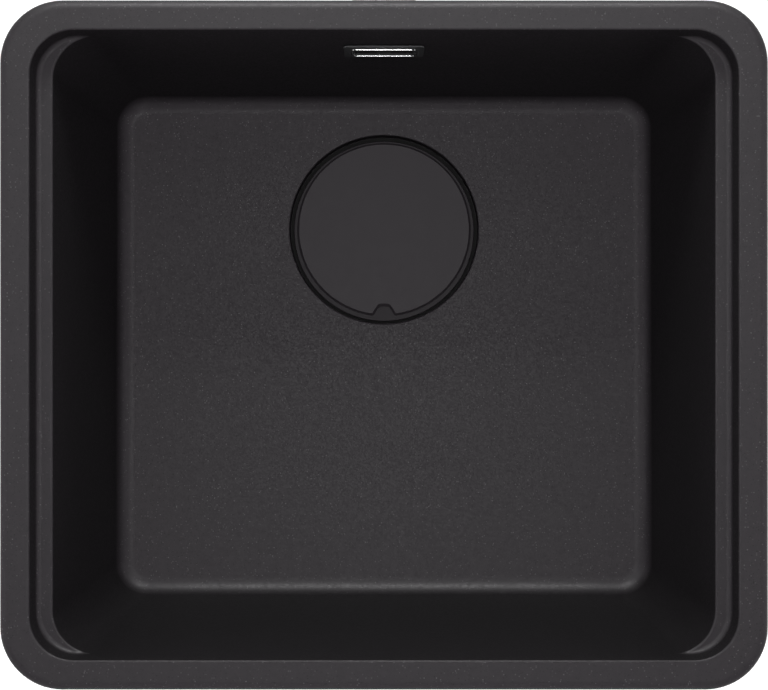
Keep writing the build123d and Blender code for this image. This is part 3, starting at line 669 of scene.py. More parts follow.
@dataclass
class Casting:
    """The granite composite basin: rim, side ledges, bowl, drain recess, overflow slot and clamp bosses.

    It is one grid of loops, closed both ways: from the drain hole out along the underside, over the rim and
    down through the bowl back to the drain hole. Lengths are millimetres, Z is 0 on the rim.
    """

    bowl: Pair = (225.0, 200.0)
    rim: Pair = (245.0, 220.0)
    collar: Pair = (234.0, 209.0)
    tub: Pair = (223.5, 209.0)
    rim_thickness: float = 10.0
    rim_corner: float = 40.0
    rim_edge: float = 6.0
    mouth_corner: float = 28.0
    mouth_edge: float = 1.2
    ledge_depth: float = 16.0
    ledge_width: float = 10.5
    ledge_fillet: float = 3.0
    step_underside: float = -26.0
    step_taper: float = 3.0
    tub_corner: float = 37.0
    tub_foot: float = 19.0
    bottom: float = -211.0
    draft: float = math.tan(math.radians(1.0))
    floor_fillet: float = 11.5
    floor_depth: float = 200.0
    floor_fall: float = 0.01
    drain_y: float = 92.5
    recess_r: float = 75.5
    recess_bottom: float = -212.5
    hole_r: float = 45.0
    boss_r: float = 87.0
    boss_bottom: float = -223.0
    slot: Pair = (40.0, 17.0)
    slot_z: float = -50.8
    pad: Pair = (66.0, 35.0)
    pad_drop: float = 4.7
    pad_face: float = 210.5
    pad_corner: float = 8.0
    clamp_x: float = 228.0
    pillar: Pair = (9.75, 10.0)
    pillar_x: float = 224.25
    pillar_bottom: float = -46.0
    insert_r: float = 4.0
    insert_top: float = -34.0
    blind_r: float = 2.8
    blind_span: Pair = (-30.0, -20.0)

    def floor_z(self, y: np.ndarray) -> np.ndarray:
        """Z of the floor, which falls towards the drain, at a place from front to back."""
        return -self.floor_depth - self.floor_fall * (y - self.drain_y)

    def lower_outline(self, inset: np.ndarray) -> np.ndarray:
        """Outlines of the bowl below the ledges, each inset from the one at the ledge."""
        return set_in((self.bowl[0] - self.ledge_width, self.bowl[1]), self.mouth_corner, inset)

    def floor_edge(self) -> np.ndarray:
        """Outline where the flat floor meets its fillet, of shape (samples, 2)."""
        drop = self.floor_depth - self.ledge_depth
        return self.lower_outline(np.array([self.draft * drop + self.floor_fillet]))[0]

    def drain_rings(self, radius: list[float], height: np.ndarray) -> np.ndarray:
        """Circles round the drain whose samples point at those of the bowl's outline.

        Args:
            radius: Radius of each circle.
            height: Z of each circle, or of each point.

        Returns:
            Points of shape (loops, samples, 3).
        """
        middle = np.array([0.0, self.drain_y])
        edge = self.floor_edge() - middle
        return lifted(circles(np.array(radius), np.arctan2(edge[:, 1], edge[:, 0])) + middle, height)

    def boss(self) -> np.ndarray:
        """Loops from the drain hole down and round the boss to the tub's underside.

        Returns:
            Points of shape (loops, samples, 3).
        """
        hole, wide, low, base = self.hole_r, self.boss_r, self.boss_bottom, self.bottom
        radius = [hole + 0.5, hole, hole, hole + 0.6, hole + 1.5, 66.0, wide - 2.0, wide - 0.8]
        radius += [wide, wide, wide, wide + 0.6, wide + 2.0, wide + 3.0]
        height = [self.recess_bottom, self.recess_bottom - 0.5, low + 0.6, low, low, low, low, low + 0.2]
        height += [low + 1.0, low + 5.0, base - 1.6, base - 0.4, base, base]
        return self.drain_rings(radius, np.array(height))

    def underside(self) -> np.ndarray:
        """Loops over the boss, along the tub's underside and up the outside to the rim.

        Returns:
            Points of shape (loops, samples, 3).
        """
        boss = self.boss()
        drop = self.step_underside - self.bottom
        inset, rise = quarter(self.tub_foot, 11)
        foot = set_in(self.tub, self.tub_corner, inset + self.draft * (drop - rise))
        foot = lifted(foot, self.bottom + rise)
        share = np.array([0.04, 0.2, 0.45, 0.7, 0.9, 0.98])[:, None, None]
        base = boss[-1:] * (1 - share) + foot[:1] * share
        taper = self.step_taper * (1 - smoothstep(np.abs(np.cos(corner_turns())) / SIDE_REACH))
        share = np.array([0.02, 0.15, 0.35, 0.6, 0.85, 0.99])
        inset = self.draft * (drop - self.tub_foot) * (1 - share)
        wall = set_in(self.tub, self.tub_corner, inset)
        wall_top = self.step_underside - taper
        low = self.bottom + self.tub_foot
        wall = lifted(wall, low + (wall_top - low) * share[:, None])
        share = np.linspace(0, 1, 5)[:, None]
        half_x = self.tub[0] + (self.collar[0] - self.tub[0]) * share[:, 0]
        step = rounded_rectangles(half_x, self.tub[1], self.tub_corner)
        step = lifted(step, self.step_underside + (2.0 * share - 1.0) * taper)
        share = np.array([0.1, 0.9, 1.0])[:, None]
        start = self.step_underside + taper
        neck = set_in(self.collar, self.tub_corner, np.zeros(3))
        neck = lifted(neck, start + (-self.rim_thickness - start) * share)
        return np.concatenate([boss, base, foot, wall, step, neck])

    def top(self) -> np.ndarray:
        """Loops from the rim's underside over its outer rounding and down the mouth to the ledge.

        Returns:
            Points of shape (loops, samples, 3).
        """
        low = -self.rim_thickness
        fall, inset = quarter(self.rim_edge, 9)
        inset = np.concatenate([[9.8, 5.0, 1.2, 0.4, 0.0], inset, [self.rim_edge + 0.6]])
        z = np.concatenate([[low, low, low, low + 0.2, low + 0.8], -fall, [0.0]])
        half_x, half_y = self.rim[0] - inset, self.rim[1] - inset
        outer = lifted(rounded_rectangles(half_x, half_y, self.rim_corner - inset * 0.5), z)
        grow, fall = quarter(self.mouth_edge, 6)
        grow = np.concatenate([[self.mouth_edge + 0.6], grow, np.zeros(3)])
        z = np.concatenate([[0.0], -fall, [-1.8, -7.0, -12.6]])
        return np.concatenate([outer, lifted(set_in(self.bowl, self.mouth_corner, -grow), z)])

    def ledge(self) -> np.ndarray:
        """Loops over the side ledges, which taper away round the corners.

        The inner outline is the outer one moved in along X by w. At an outward normal of angle t the ledge
        is D = w |cos t| wide. At a distance d from the mouth's wall it lies at
        z = -h + r - sqrt(r^2 - (r - d)^2) while d < r, and at -h beyond that; its inner edge is rounded. On
        the front and back, where D is 0, the loops spread down the plain wall instead.

        Returns:
            Points of shape (loops, samples, 3).
        """
        r, high = self.ledge_fillet, -self.ledge_depth
        across = np.abs(np.cos(corner_turns()))
        wide = np.maximum(self.ledge_width * across, 1e-6)
        edge = np.minimum(self.mouth_edge, 0.5 * wide)
        run_in = np.minimum(r, 0.7 * (wide - edge))
        sweep = np.arccos(1 - run_in / r)
        turn = np.linspace(0, 1, 7)[:, None]
        curve = r * (1 - np.cos(turn * sweep))
        share = np.array([0.08, 0.5, 0.92, 1.0])[:, None]
        flat = run_in + (wide - edge - run_in) * share
        inset, fall = (part[1:, None] * edge for part in quarter(1.0, 6))
        distance = np.concatenate([curve, flat, wide - inset])
        fall = np.concatenate([np.zeros((11, 1)) * edge, fall])
        z = high + r - np.sqrt(np.maximum(r * r - np.maximum(r - distance, 0) ** 2, 0)) - fall
        plain = np.linspace(high + r, high - self.mouth_edge, len(z))[:, None]
        z = plain + (z - plain) * smoothstep(across / SIDE_REACH)
        outer = set_in(self.bowl, self.mouth_corner, np.zeros(1))
        inner = self.lower_outline(np.zeros(1))
        return lifted(outer + (inner - outer) * (distance / wide)[..., None], z)

    def bowl_inside(self, start: np.ndarray) -> np.ndarray:
        """Loops down the bowl's wall, round its floor fillet and over the floor into the drain recess.

        Args:
            start: Last loop of the ledges.

        Returns:
            Points of shape (loops, samples, 3).
        """
        drop = self.floor_depth - self.ledge_depth
        share = np.array([0.005, 0.03, 0.15, 0.3, 0.5, 0.7, 0.85, 0.97, 0.995])
        wall = self.lower_outline(self.draft * share * (drop - self.floor_fillet))
        foot_z = self.floor_z(wall[..., 1]) + self.floor_fillet
        wall = lifted(wall, start[:, 2] + (foot_z - start[:, 2]) * share[:, None])
        rise, inset = quarter(self.floor_fillet, 13)
        fillet = self.lower_outline(inset + self.draft * (drop - rise))
        fillet = lifted(fillet, self.floor_z(fillet[..., 1]) + rise[:, None])
        grow, fall = quarter(self.mouth_edge, 6)
        lip = self.drain_rings(self.recess_r + grow, np.zeros(6))
        lip[..., 2] = self.floor_z(lip[..., 1]) - fall[:, None]
        share = np.array([0.01, 0.08, 0.25, 0.5, 0.75, 0.95, 0.99])[:, None, None]
        floor = fillet[-1:] * (1 - share) + lip[:1] * share
        floor[..., 2] = self.floor_z(floor[..., 1])
        r, low = self.recess_r, self.recess_bottom
        radius = [r, r, r - 0.2, r - 0.8, r - 2.0, 60.0, self.hole_r + 2.0]
        well = self.drain_rings(radius, np.array([low + 6.5, low + 1.1, low + 0.3, low, low, low, low]))
        return np.concatenate([wall, fillet, floor, lip, well])

    def clamp_boss(self, side: Side, row: Row) -> Shell:
        """A square pillar under the ledge, with the hole for its brass thread.

        Args:
            side: Side of the bowl.
            row: Row along that side.

        Returns:
            A ring-shaped shell, sunk into the casting.
        """
        middle = np.array([side.value * self.pillar_x, row.value])
        hole = np.array([side.value * self.clamp_x, row.value])
        # The top is set in and sunk into the step, so that no two faces lie in one plane.
        inset = np.array([1.5, 1.5, 0.0, 0.0, 0.0, 0.3, 1.0])
        half_x, half_y = self.pillar[0] - inset, self.pillar[1] - inset
        outer = rounded_rectangles(half_x, half_y, 1.5 - inset / 2, 6, 6) + middle
        aim = outer[0] - hole
        radius = self.insert_r + np.array([0.6, 0.1, 0.0, 0.0])
        inner = circles(radius, np.arctan2(aim[:, 1], aim[:, 0])) + hole
        step, low = self.step_underside, self.pillar_bottom
        z = [step + 6.0, step + 0.4, step, step - 4.0, low + 1.0, low + 0.2, low]
        z += [low, low + 0.4, low + 1.0, self.insert_top]
        return skin(lifted(np.concatenate([outer, inner]), np.array(z)), ring=True)

    def slot_outline(self, grow: np.ndarray) -> np.ndarray:
        """Outlines of the overflow slot, each grown along its normal."""
        half = (self.slot[0] / 2, self.slot[1] / 2)
        return set_in(half, half[1] - 0.01, -grow)

    def overflow_pad(self) -> Shell:
        """The flat pad round the overflow slot on the outside of the back wall.

        Returns:
            A ring-shaped shell, sunk into the casting.
        """
        half = (self.pad[0] / 2, self.pad[1] / 2)
        outer = set_in(half, self.pad_corner, np.array([0.0, 0.0, 0.3, 1.0]))
        outer = outer - np.array([0.0, self.pad_drop])
        inner = self.slot_outline(np.array([0.6, 0.1, 0.0, 0.0]))
        depth = self.pad_face - np.array([4.0, 1.0, 0.2, 0.0, 0.0, 0.4, 1.0, 5.0])
        return skin(on_wall(np.concatenate([outer, inner]), depth, self.slot_z), ring=True)

    def cut_holes(self, shell: Shell) -> Shell:
        """Cuts the overflow slot through the back wall and the blind holes above the clamp threads.

        Args:
            shell: The whole casting.

        Returns:
            The casting with its holes, its faces as quads and triangles.
        """
        through = np.array([180.0, 240.0])
        cutters = [skin(on_wall(self.slot_outline(np.zeros(2)), through, self.slot_z))]
        hole = disc(self.blind_r, [(0.0, level) for level in self.blind_span], 24)
        cutters += [hole.moved(side.value * self.clamp_x, row.value) for side, row in SPOTS]
        made = []
        for part in (shell, *cutters):
            mesh = bpy.data.meshes.new("cut")
            mesh.from_pydata(part.points, [], part.quads.tolist() + part.tris.tolist())
            made.append(add_object("cut", mesh))
        for item in made[1:]:
            cut = made[0].modifiers.new("hole", "BOOLEAN")
            cut.object, cut.solver = item, "EXACT"
        graph = bpy.context.evaluated_depsgraph_get()
        mesh = bpy.data.meshes.new_from_object(made[0].evaluated_get(graph))
        mesh.calc_loop_triangles()
        points = read_items(mesh.vertices, "co", np.float32, 3).astype(float)
        corners = read_items(mesh.loop_triangles, "vertices", np.int32, 3)
        owner = read_items(mesh.loop_triangles, "polygon_index", np.int32)[:, 0]
        around = read_items(mesh.loops, "vertex_index", np.int32)[:, 0]
        sizes = read_items(mesh.polygons, "loop_total", np.int32)[:, 0]
        starts = read_items(mesh.polygons, "loop_start", np.int32)
        for item in made:
            bpy.data.objects.remove(item)
        return Shell(points, around[starts[sizes == 4] + np.arange(4)], corners[sizes[owner] != 4])

    def build(self, finish: Finish) -> bpy.types.Object:
        """Makes the casting.

        Args:
            finish: Its granite composite.

        Returns:
            The new object.
        """
        ledge = self.ledge()
        loops = np.concatenate([self.underside(), self.top(), ledge, self.bowl_inside(ledge[-1])])
        shells = [self.cut_holes(skin(loops, ring=True)), self.overflow_pad()]
        shells += [self.clamp_boss(side, row) for side, row in SPOTS]
        return add_piece("basin_casting", shells, finish.build(), Body.SINK.value, ("basin",))


@dataclass
class Drain:
    """Lid, flange, plug and waste body on the drain's axis. Heights are millimetres below the rim."""

    y: float = 92.5
    lid_r: float = 69.6
    lid_top: float = -200.8
    lid_bottom: float = -203.8
    lid_slant: float = 1.6
    notch_depth: float = 7.9
    notch_half: float = 9.2
    brim_r: float = 72.4
    brim_top: float = -204.5
    brim_forward: float = 1.1
    outlet_r: float = 23.9
    spigot_r: float = 11.2
    inlet_z: float = -264.0
    inlet_end: float = 153.0

    def lid(self) -> Shell:
        """The lid: r(t, i) = R - i - (n + 0.3 i) s(x / (w + 0.8 i)).

        i is the inset of each level of its slanting side, and s(u) = (1 + cos(pi u^2.2)) / 2 up to u = 1, a
        dome with a wide foot, shapes the finger notch.

        Returns:
            A closed shell about the Z axis.
        """
        t = np.linspace(-1, 1, 480, endpoint=False)
        turn = np.pi * (0.22 * t + 0.78 * t**3)
        across = np.abs(self.lid_r * np.sin(turn)) + 100.0 * (np.abs(turn) > 0.5)
        s, top, low = self.lid_slant, self.lid_top, self.lid_bottom
        levels = [(0.5, low), (0.12, low + 0.12), (0.0, low + 0.4)]
        levels += [(s - 0.05, top - 0.3), (s + 0.05, top - 0.16), (s + 0.18, top)]
        inset, z = np.array(levels).T[..., None]
        u = np.minimum(across / (self.notch_half + 0.8 * inset), 1.0)
        r = self.lid_r - inset - (self.notch_depth + 0.3 * inset) * (1 + np.cos(np.pi * u**2.2)) / 2
        return skin(polar(r, turn - np.pi / 2, z))

    def flange(self) -> list[Shell]:
        """The brim with its bead, the strainer well, the plug seat, the hub and its spokes.

        The brim's outer part lies forward by y = -f s(r), s a smooth step: its gap is widest at the back.

        Returns:
            Closed shells about the Z axis.
        """
        r, top = self.brim_r, self.brim_top
        section = [(44.5, top, 0.6), (r, top, 0.8), (r, -211.5, 0.5), (66.0, -211.5, 0.5)]
        section += [(66.0, -206.5, 0.8), (46.0, -206.5, 0.4), (46.0, -208.5, 0.4), (42.5, -208.5, 0.8)]
        section += [(42.5, -244.0, 2.5), (27.0, -244.0, 0.5), (27.0, -242.0, 0.5), (41.0, -242.0, 1.0)]
        section += [(41.0, -207.0, 0.6), (44.5, -207.0, 0.8)]
        brim = revolved(rounded_polygon(section, 4), 160)
        out = np.hypot(*brim.points[:, :2].T)
        brim.points[:, 1] -= self.brim_forward * smoothstep((out - 60.0) / 10.0)
        spoke = box(22.5, 4.0, -253.8, -243.8, 0.6).moved(x=18.75)
        return [brim, washer(5.06, 9.0, -250.0, -254.0, (0.3, 0.6), 48), *spoke.spun(0, 90, 180, 270)]

    def waste_body(self) -> list[Shell]:
        """The cup with its bridge and the overflow inlet.

        Returns:
            Closed shells about the Z axis.
        """
        section = [(45.5, -225.0, 0.5), (59.0, -225.0, 1.2), (59.0, -231.0, 1.2), (48.5, -231.0, 2.5)]
        section += [(48.5, -281.0, 5.0), (30.0, -281.0, 0.3), (30.0, -278.0, 0.3), (45.5, -278.0, 2.5)]
        cup = revolved(rounded_polygon(section), 128)
        length = self.inlet_end - self.y
        inlet = threaded(self.spigot_r, 8.0, -length, -46.5, 1.8, 0.7).turned(LAID).moved(z=self.inlet_z)
        hub = washer(6.5, 10.0, -276.0, -264.0, (0.3, 0.5), 48)
        bar = box(37.0, 4.0, -275.8, -264.2, 0.6).moved(x=28.0)
        return [cup, inlet, hub, *bar.spun(45, 135, 225, 315)]

    def waste_tail(self) -> list[Shell]:
        """The outlet: a flange under the cup, a spigot in its floor and a pipe with an outside thread.

        Returns:
            Closed shells about the Z axis.
        """
        section = [(19.5, -278.0, 0.8), (29.9, -278.0, 0.3), (29.9, -281.0, 0.2), (36.0, -281.0, 0.6)]
        section += [(36.0, -284.0, 0.9), (23.0, -284.0, 1.0), (23.0, -286.5, 0.3), (19.5, -286.5, 0.3)]
        seat = revolved(rounded_polygon(section, 4), 128)
        return [seat, threaded(self.outlet_r, 19.55, -303.0, -285.5, 2.31, 1.3, 128)]

    def knob(self) -> list[Shell]:
        """The pull on the plug's stem, with a waist for the fingers, and its cap.

        Returns:
            Closed shells about the Z axis.
        """
        section = [(2.9, -214.0, 0.3), (6.0, -214.0, 0.6), (6.0, -210.5, 1.6), (9.0, -209.6, 0.9)]
        section += [(9.0, -206.0, 1.0), (2.0, -206.0, 0.3), (2.0, -210.0, 0.2), (2.9, -210.0, 0.2)]
        cap = disc(2.6, [(0.4, -209.0), (0.0, -208.0), (0.3, -206.05)], 64)
        return [revolved(rounded_polygon(section, 6), 64), cap]

    def plug_seal(self) -> Shell:
        """The plug's rubber washer, with a thin rounded sealing lip.

        Returns:
            A ring-shaped shell about the Z axis.
        """
        section = [(3.0, -232.2, 0.2), (27.0, -232.2, 2.0), (31.0, -234.2, 0.6), (31.0, -235.7, 0.6)]
        section += [(26.0, -235.7, 0.5), (24.0, -235.0, 0.5), (20.0, -235.0, 0.5), (18.0, -235.7, 0.5)]
        return revolved(rounded_polygon(section + [(3.0, -235.7, 0.2)], 4), 96)

    def build(self, lid: Finish, flange: Finish, waste: Finish, knob: Finish, rubber: Finish) -> None:
        """Makes the pieces on the drain's axis.

        Args:
            lid: Finish of the lid.
            flange: Finish of the flange.
            waste: Finish of the waste body.
            knob: Finish of the plug's knob.
            rubber: Finish of the plug's seal.
        """
        for name, shells, finish, slot, body, node in (
            ("drain_lid", [self.lid()], lid, Slot.LID, Body.COVER, "drain_cover"),
            ("strainer_flange", self.flange(), flange, Slot.FLANGE, Body.SINK, "waste_flange"),
            ("waste_cup", self.waste_body(), waste, Slot.WASTE, Body.SINK, "waste_body"),
            ("outlet_tail", self.waste_tail(), waste, Slot.WASTE, Body.SINK, "waste_tail"),
            ("plug_pull", self.knob(), knob, Slot.KNOB, Body.PLUG, "plug_knob"),
            ("plug_washer", [self.plug_seal()], rubber, Slot.RUBBER, Body.PLUG, "plug_seal"),
        ):
            placed = [shell.moved(y=self.y) for shell in shells]
            add_piece(name, placed, finish.build(), body.value, (node,))


@dataclass
class Overflow:
    """Plate and bezel on the back wall; elbow, hose and union nuts behind it. Lengths are millimetres."""

    z: float = -50.8
    plate: Pair = (27.0, 14.5)
    plate_back: float = 198.9
    plate_sheet: float = 1.1
    plate_corner: float = 3.0
    opening: Pair = (19.4, 6.9)
    bezel: Pair = (23.0, 9.4)
    bezel_corner: float = 4.5
    bezel_bar: float = 1.6
    bezel_thickness: float = 0.8
    elbow_z: float = -55.5
    drop_y: float = 224.0
    spigot_r: float = 11.2
    hose_top: float = -93.0
    bend_r: float = 44.0
    inlet_z: float = -264.0
    hose_end: float = 155.0
    hose_bore: float = 8.0
    hose_root: float = 9.2
    hose_crest: float = 11.0
    ribs: int = 48
    plain: float = 9.0

    def plate_shells(self) -> list[Shell]:
        """The thin plate with its opening, and the bracket that reaches back through the slot.

        Returns:
            Closed shells.
        """
        inset = np.array([0.3, 0.0, 0.0, 0.3])
        outer = set_in(self.plate, self.plate_corner, inset, 8, 8)
        inner = set_in(self.opening, self.plate_corner, np.zeros(2), 8, 8)
        back, front = self.plate_back, self.plate_back - self.plate_sheet
        depth = np.array([back, back - 0.3, front + 0.3, front, front, back])
        face = skin(on_wall(np.concatenate([outer, inner]), depth, self.z), ring=True)
        bracket = box(10.0, 2.0, -8.1, 8.1, 0.3).moved(y=204.0, z=self.z)
        arm = box(10.0, 6.0, -0.75, 0.75, 0.3).moved(y=202.0, z=self.z)
        return [face, bracket, arm.moved(z=-7.4), arm.moved(z=7.4)]

    def bezel_shells(self) -> list[Shell]:
        """The narrow frame: a bar with rounded front edges, swept round a rounded rectangle.

        Returns:
            Closed shells.
        """
        bar, high = self.bezel_bar, self.bezel_thickness
        section = [(0.0, 0.0, 0.1), (bar, 0.0, 0.1), (bar, high, 0.35), (0.0, high, 0.35)]
        inset, rise = rounded_polygon(section, 6).T
        ring = set_in(self.bezel, self.bezel_corner, inset, 10, 12)
        return [skin(on_wall(ring, self.plate_back - self.plate_sheet - rise, self.z), ring=True)]

    def elbow_shells(self) -> list[Shell]:
        """The hollow chamber with its flange and screw boss, the threaded spigot and the swell above it.

        Returns:
            Closed shells.
        """
        # Half length, half height, corner radius and Y of each outline, from the inside to the back.
        rows = [(19.0, 11.5, 2.5, 228.5), (20.6, 13.1, 4.1, 228.1), (21.0, 13.5, 4.5, 227.0)]
        rows += [(21.0, 13.5, 4.5, 212.0), (29.6, 16.6, 7.6, 212.0), (30.0, 17.0, 8.0, 212.4)]
        rows += [(30.0, 17.0, 8.0, 214.6), (29.6, 16.6, 7.6, 215.0), (25.6, 16.3, 7.3, 215.0)]
        rows += [(25.0, 16.0, 7.0, 215.6), (25.0, 16.0, 7.0, 228.5), (24.3, 15.3, 6.3, 230.3)]
        rows += [(22.5, 13.5, 4.5, 231.0), (12.0, 7.0, 2.0, 231.0)]
        half_x, half_z, radius, depth = np.array(rows).T
        cup = skin(on_wall(rounded_rectangles(half_x, half_z, radius, 8, 10), depth, self.elbow_z))
        levels = [(0.3, -71.4), (0.0, -71.0), (0.0, -56.1), (0.2, -55.7), (0.6, -55.5)]
        shift = 8.0
        swell = stacked(half_moon(self.spigot_r, 1.05, 33, shift), levels).moved(y=self.drop_y + shift)
        boss = washer(2.56, 5.0, -229.5, -214.0, (0.2, 0.4), 32).turned(LAID).moved(z=self.z)
        spigot = threaded(self.spigot_r, self.hose_bore, -91.0, -70.0, 1.8, 0.7).moved(y=self.drop_y)
        return [cup, boss, spigot, swell]

    def hose(self) -> Shell:
        """The ribbed hose: P(s, t) = c(s) + r(s) (cos t x + sin t n(s)).

        Its centre line c(s) runs down, round a quarter bend and along to the waste body. r(s) goes between
        root and crest in soft-edged trapezoid ribs, with a plain collar at each end.

        Returns:
            A ring-shaped shell, outside and bore.
        """
        drop = self.hose_top - (self.inlet_z + self.bend_r)
        bend = self.bend_r * np.pi / 2
        run = self.drop_y - self.bend_r - self.hose_end
        length = drop + bend + run
        collar = np.array([0.0, 0.3, 2.7, 3.0, 3.4, 6.0])
        middle = np.linspace(self.plain, length - self.plain, self.ribs * 10 + 1)
        s = np.concatenate([collar, middle, length - collar[::-1]])
        phase = (middle - self.plain) / (length - 2 * self.plain) * self.ribs % 1.0
        rib = smoothstep(np.minimum(phase / 0.25, (0.8 - phase) / 0.25))
        rise = np.concatenate([[0.9, 1.0, 1.0, 0.9, 0.0, 0.0], rib, [0.0, 0.0, 0.9, 1.0, 1.0, 0.9]])
        r = self.hose_root + (self.hose_crest - self.hose_root) * rise
        s, r = np.concatenate([s, s[::-1]]), np.concatenate([r, np.full(len(r), self.hose_bore)])
        turn = np.clip((s - drop) / self.bend_r, 0, np.pi / 2)
        after = np.maximum(s - drop - bend, 0)
        y = self.drop_y - self.bend_r * (1 - np.cos(turn)) - after
        z = self.hose_top - np.minimum(s, drop) - self.bend_r * np.sin(turn)
        t = even_angles(40)
        spread = r[:, None] * np.sin(t)
        points = [r[:, None] * np.cos(t), y[:, None] + spread * np.cos(turn)[:, None]]
        points.append(z[:, None] - spread * np.sin(turn)[:, None])
        return skin(np.stack(points, axis=-1), ring=True)

    def nut(self) -> Shell:
        """A union nut about the Z axis, mouth up: its skirt has r(t) = R + g |cos 6t|^3 for grip.

        Returns:
            A ring-shaped shell.
        """
        section = [(11.26, 10.0, 0.4), (13.8, 10.0, 0.8), (13.8, -7.9, 1.4), (9.8, -7.9, 0.4)]
        profile = rounded_polygon(section + [(9.8, -5.4, 0.3), (11.26, -5.4, 0.3)])
        angles = even_angles(144)
        grip = 1.3 * np.abs(np.cos(6 * angles)) ** 3 * smoothstep((profile[:, :1] - 12.6) / 1.2)
        return skin(polar(profile[:, :1] + grip, angles, profile[:, 1:]), ring=True)

    def build(self, plate: Finish, chrome: Finish, elbow: Finish, hose: Finish, nut: Finish) -> None:
        """Makes the overflow's pieces.

        Args:
            plate: Finish of the plate.
            chrome: Finish of the bezel.
            elbow: Finish of the elbow.
            hose: Finish of the hose.
            nut: Finish of the union nuts.
        """
        top = self.nut().moved(y=self.drop_y, z=self.hose_top + 2.0)
        low = self.nut().turned(LAID).moved(y=self.hose_end - 2.0, z=self.inlet_z)
        for name, shells, finish, slot, node in (
            ("overflow_cover", self.plate_shells(), plate, Slot.PLATE, "overflow_plate"),
            ("overflow_frame", self.bezel_shells(), chrome, Slot.CHROME, "overflow_bezel"),
            ("overflow_chamber", self.elbow_shells(), elbow, Slot.WASTE, "overflow_elbow"),
            ("ribbed_hose", [self.hose()], hose, Slot.HOSE, "overflow_hose"),
            ("union_nut_top", [top], nut, Slot.NUT, "hose_nut_top"),
            ("union_nut_bottom", [low], nut, Slot.NUT, "hose_nut_bottom"),
        ):
            add_piece(name, shells, finish.build(), Body.SINK.value, (node,))


@dataclass
class WorktopClamps:
    """Six slotted screws under the ledges, each with a bent steel arm. Heights are millimetres."""

    x: float = 228.0
    screw_r: float = 2.5
    screw_top: float = -38.0
    head_r: float = 4.25
    head_top: float = -70.0
    head_bottom: float = -74.0
    slot_half: float = 0.6
    slot_depth: float = 1.6
    eye_r: float = 2.58
    arm_half: float = 4.0
    arm_sheet: float = 2.5
    arm_length: float = 34.0
    toe_half: float = 3.0
    toe_top: float = -56.0

    def screw(self) -> list[Shell]:
        """A cheese-head screw: a disc, two lips beside the slot and a threaded shank.

        Returns:
            Closed shells about the Z axis.
        """
        top, low, slot = self.head_top, self.head_bottom, self.head_bottom + self.slot_depth
        head = disc(self.head_r, [(0.2, slot), (0.0, slot + 0.2), (0.0, top - 0.3), (0.3, top)], 48)
        shift = 2.2
        moon = half_moon(self.head_r, math.acos(self.slot_half / self.head_r), 25, shift)
        levels = [(0.5, low), (0.15, low + 0.15), (0.0, low + 0.5), (0.0, slot + 0.3)]
        lip = stacked(moon, levels).moved(y=shift)
        shank = threaded(self.screw_r, 0.0, top - 0.5, self.screw_top, 0.8, 0.35, 32)
        return [head, *lip.spun(0, 180), shank]

    def arm(self) -> list[Shell]:
        """A strip along c(s): out along Y from its eye, round a bend and up to the toe.

        Returns:
            Closed shells about the screw's axis.
        """
        low = self.head_top
        eye = washer(self.eye_r, self.arm_half, low, low + self.arm_sheet, (0.3, 0.4), 64)
        bend, half = 3.0, self.arm_sheet / 2 - 0.05
        straight = np.linspace(3.3, self.arm_length - self.arm_sheet / 2 - bend, 6)
        turn = np.linspace(0, np.pi / 2, 9)[1:]
        rise = np.linspace(bend, self.toe_top - low - half - 0.05, 6)[1:]
        y = np.concatenate([straight, straight[-1] + bend * np.sin(turn), np.full(5, straight[-1] + bend)])
        z = np.concatenate([np.zeros(6), bend * (1 - np.cos(turn)), rise]) + low + half + 0.05
        lean = np.concatenate([np.zeros(6), turn, np.full(5, np.pi / 2)])
        taper = smoothstep((np.arange(len(y)) - 5.0) / 8.0)
        wide = self.arm_half + (self.toe_half - self.arm_half) * taper
        thick = np.full(len(y), half)
        wide[[0, -1]], thick[[0, -1]] = wide[[0, -1]] - 0.4, half - 0.4
        section = rounded_rectangles(wide, thick, 0.4, 4, 5)
        side, y, z, lean = section[..., 1], y[:, None], z[:, None], lean[:, None]
        points = [section[..., 0], y - side * np.sin(lean), z + side * np.cos(lean)]
        return [eye, skin(np.stack(points, axis=-1))]

    def build(self, screw: Finish, arm: Finish) -> None:
        """Makes all six clamps.

        Args:
            screw: Finish of the screws.
            arm: Finish of the arms.
        """
        kinds = (
            ("screw", "turned", self.screw(), screw.build(), Slot.SCREW),
            ("arm", "bent", self.arm(), arm.build(), Slot.ARM),
        )
        for side, row in SPOTS:
            for kind, made, shells, look, slot in kinds:
                body = f"{kind}_{side.name}_{row.name}".lower()
                placed = [shell.moved(side.value * self.x, row.value) for shell in shells]
                add_piece(f"{body}_{made}", placed, look, body, (f"clamp_{body}",))


@dataclass(frozen=True)
class Softbox:
    """An area light that looks at the middle of the bowl, in metres and watts.

    Shine is True for a light that only shows as a reflection.
    """

    name: str
    place: Place
    size: Pair
    power: float
    shine: bool = False

    def build(self) -> None:
        """Hangs the light."""
        data = bpy.data.lights.new(self.name, "AREA")
        data.shape, data.energy = "RECTANGLE", self.power
        data.size, data.size_y = self.size
        lamp = add_object(self.name, data)
        lamp.location = self.place
        aim = Vector((0, 0, -0.1)) - Vector(self.place)
        lamp.rotation_euler = aim.to_track_quat("-Z", "Y").to_euler()
        lamp.visible_diffuse = not self.shine


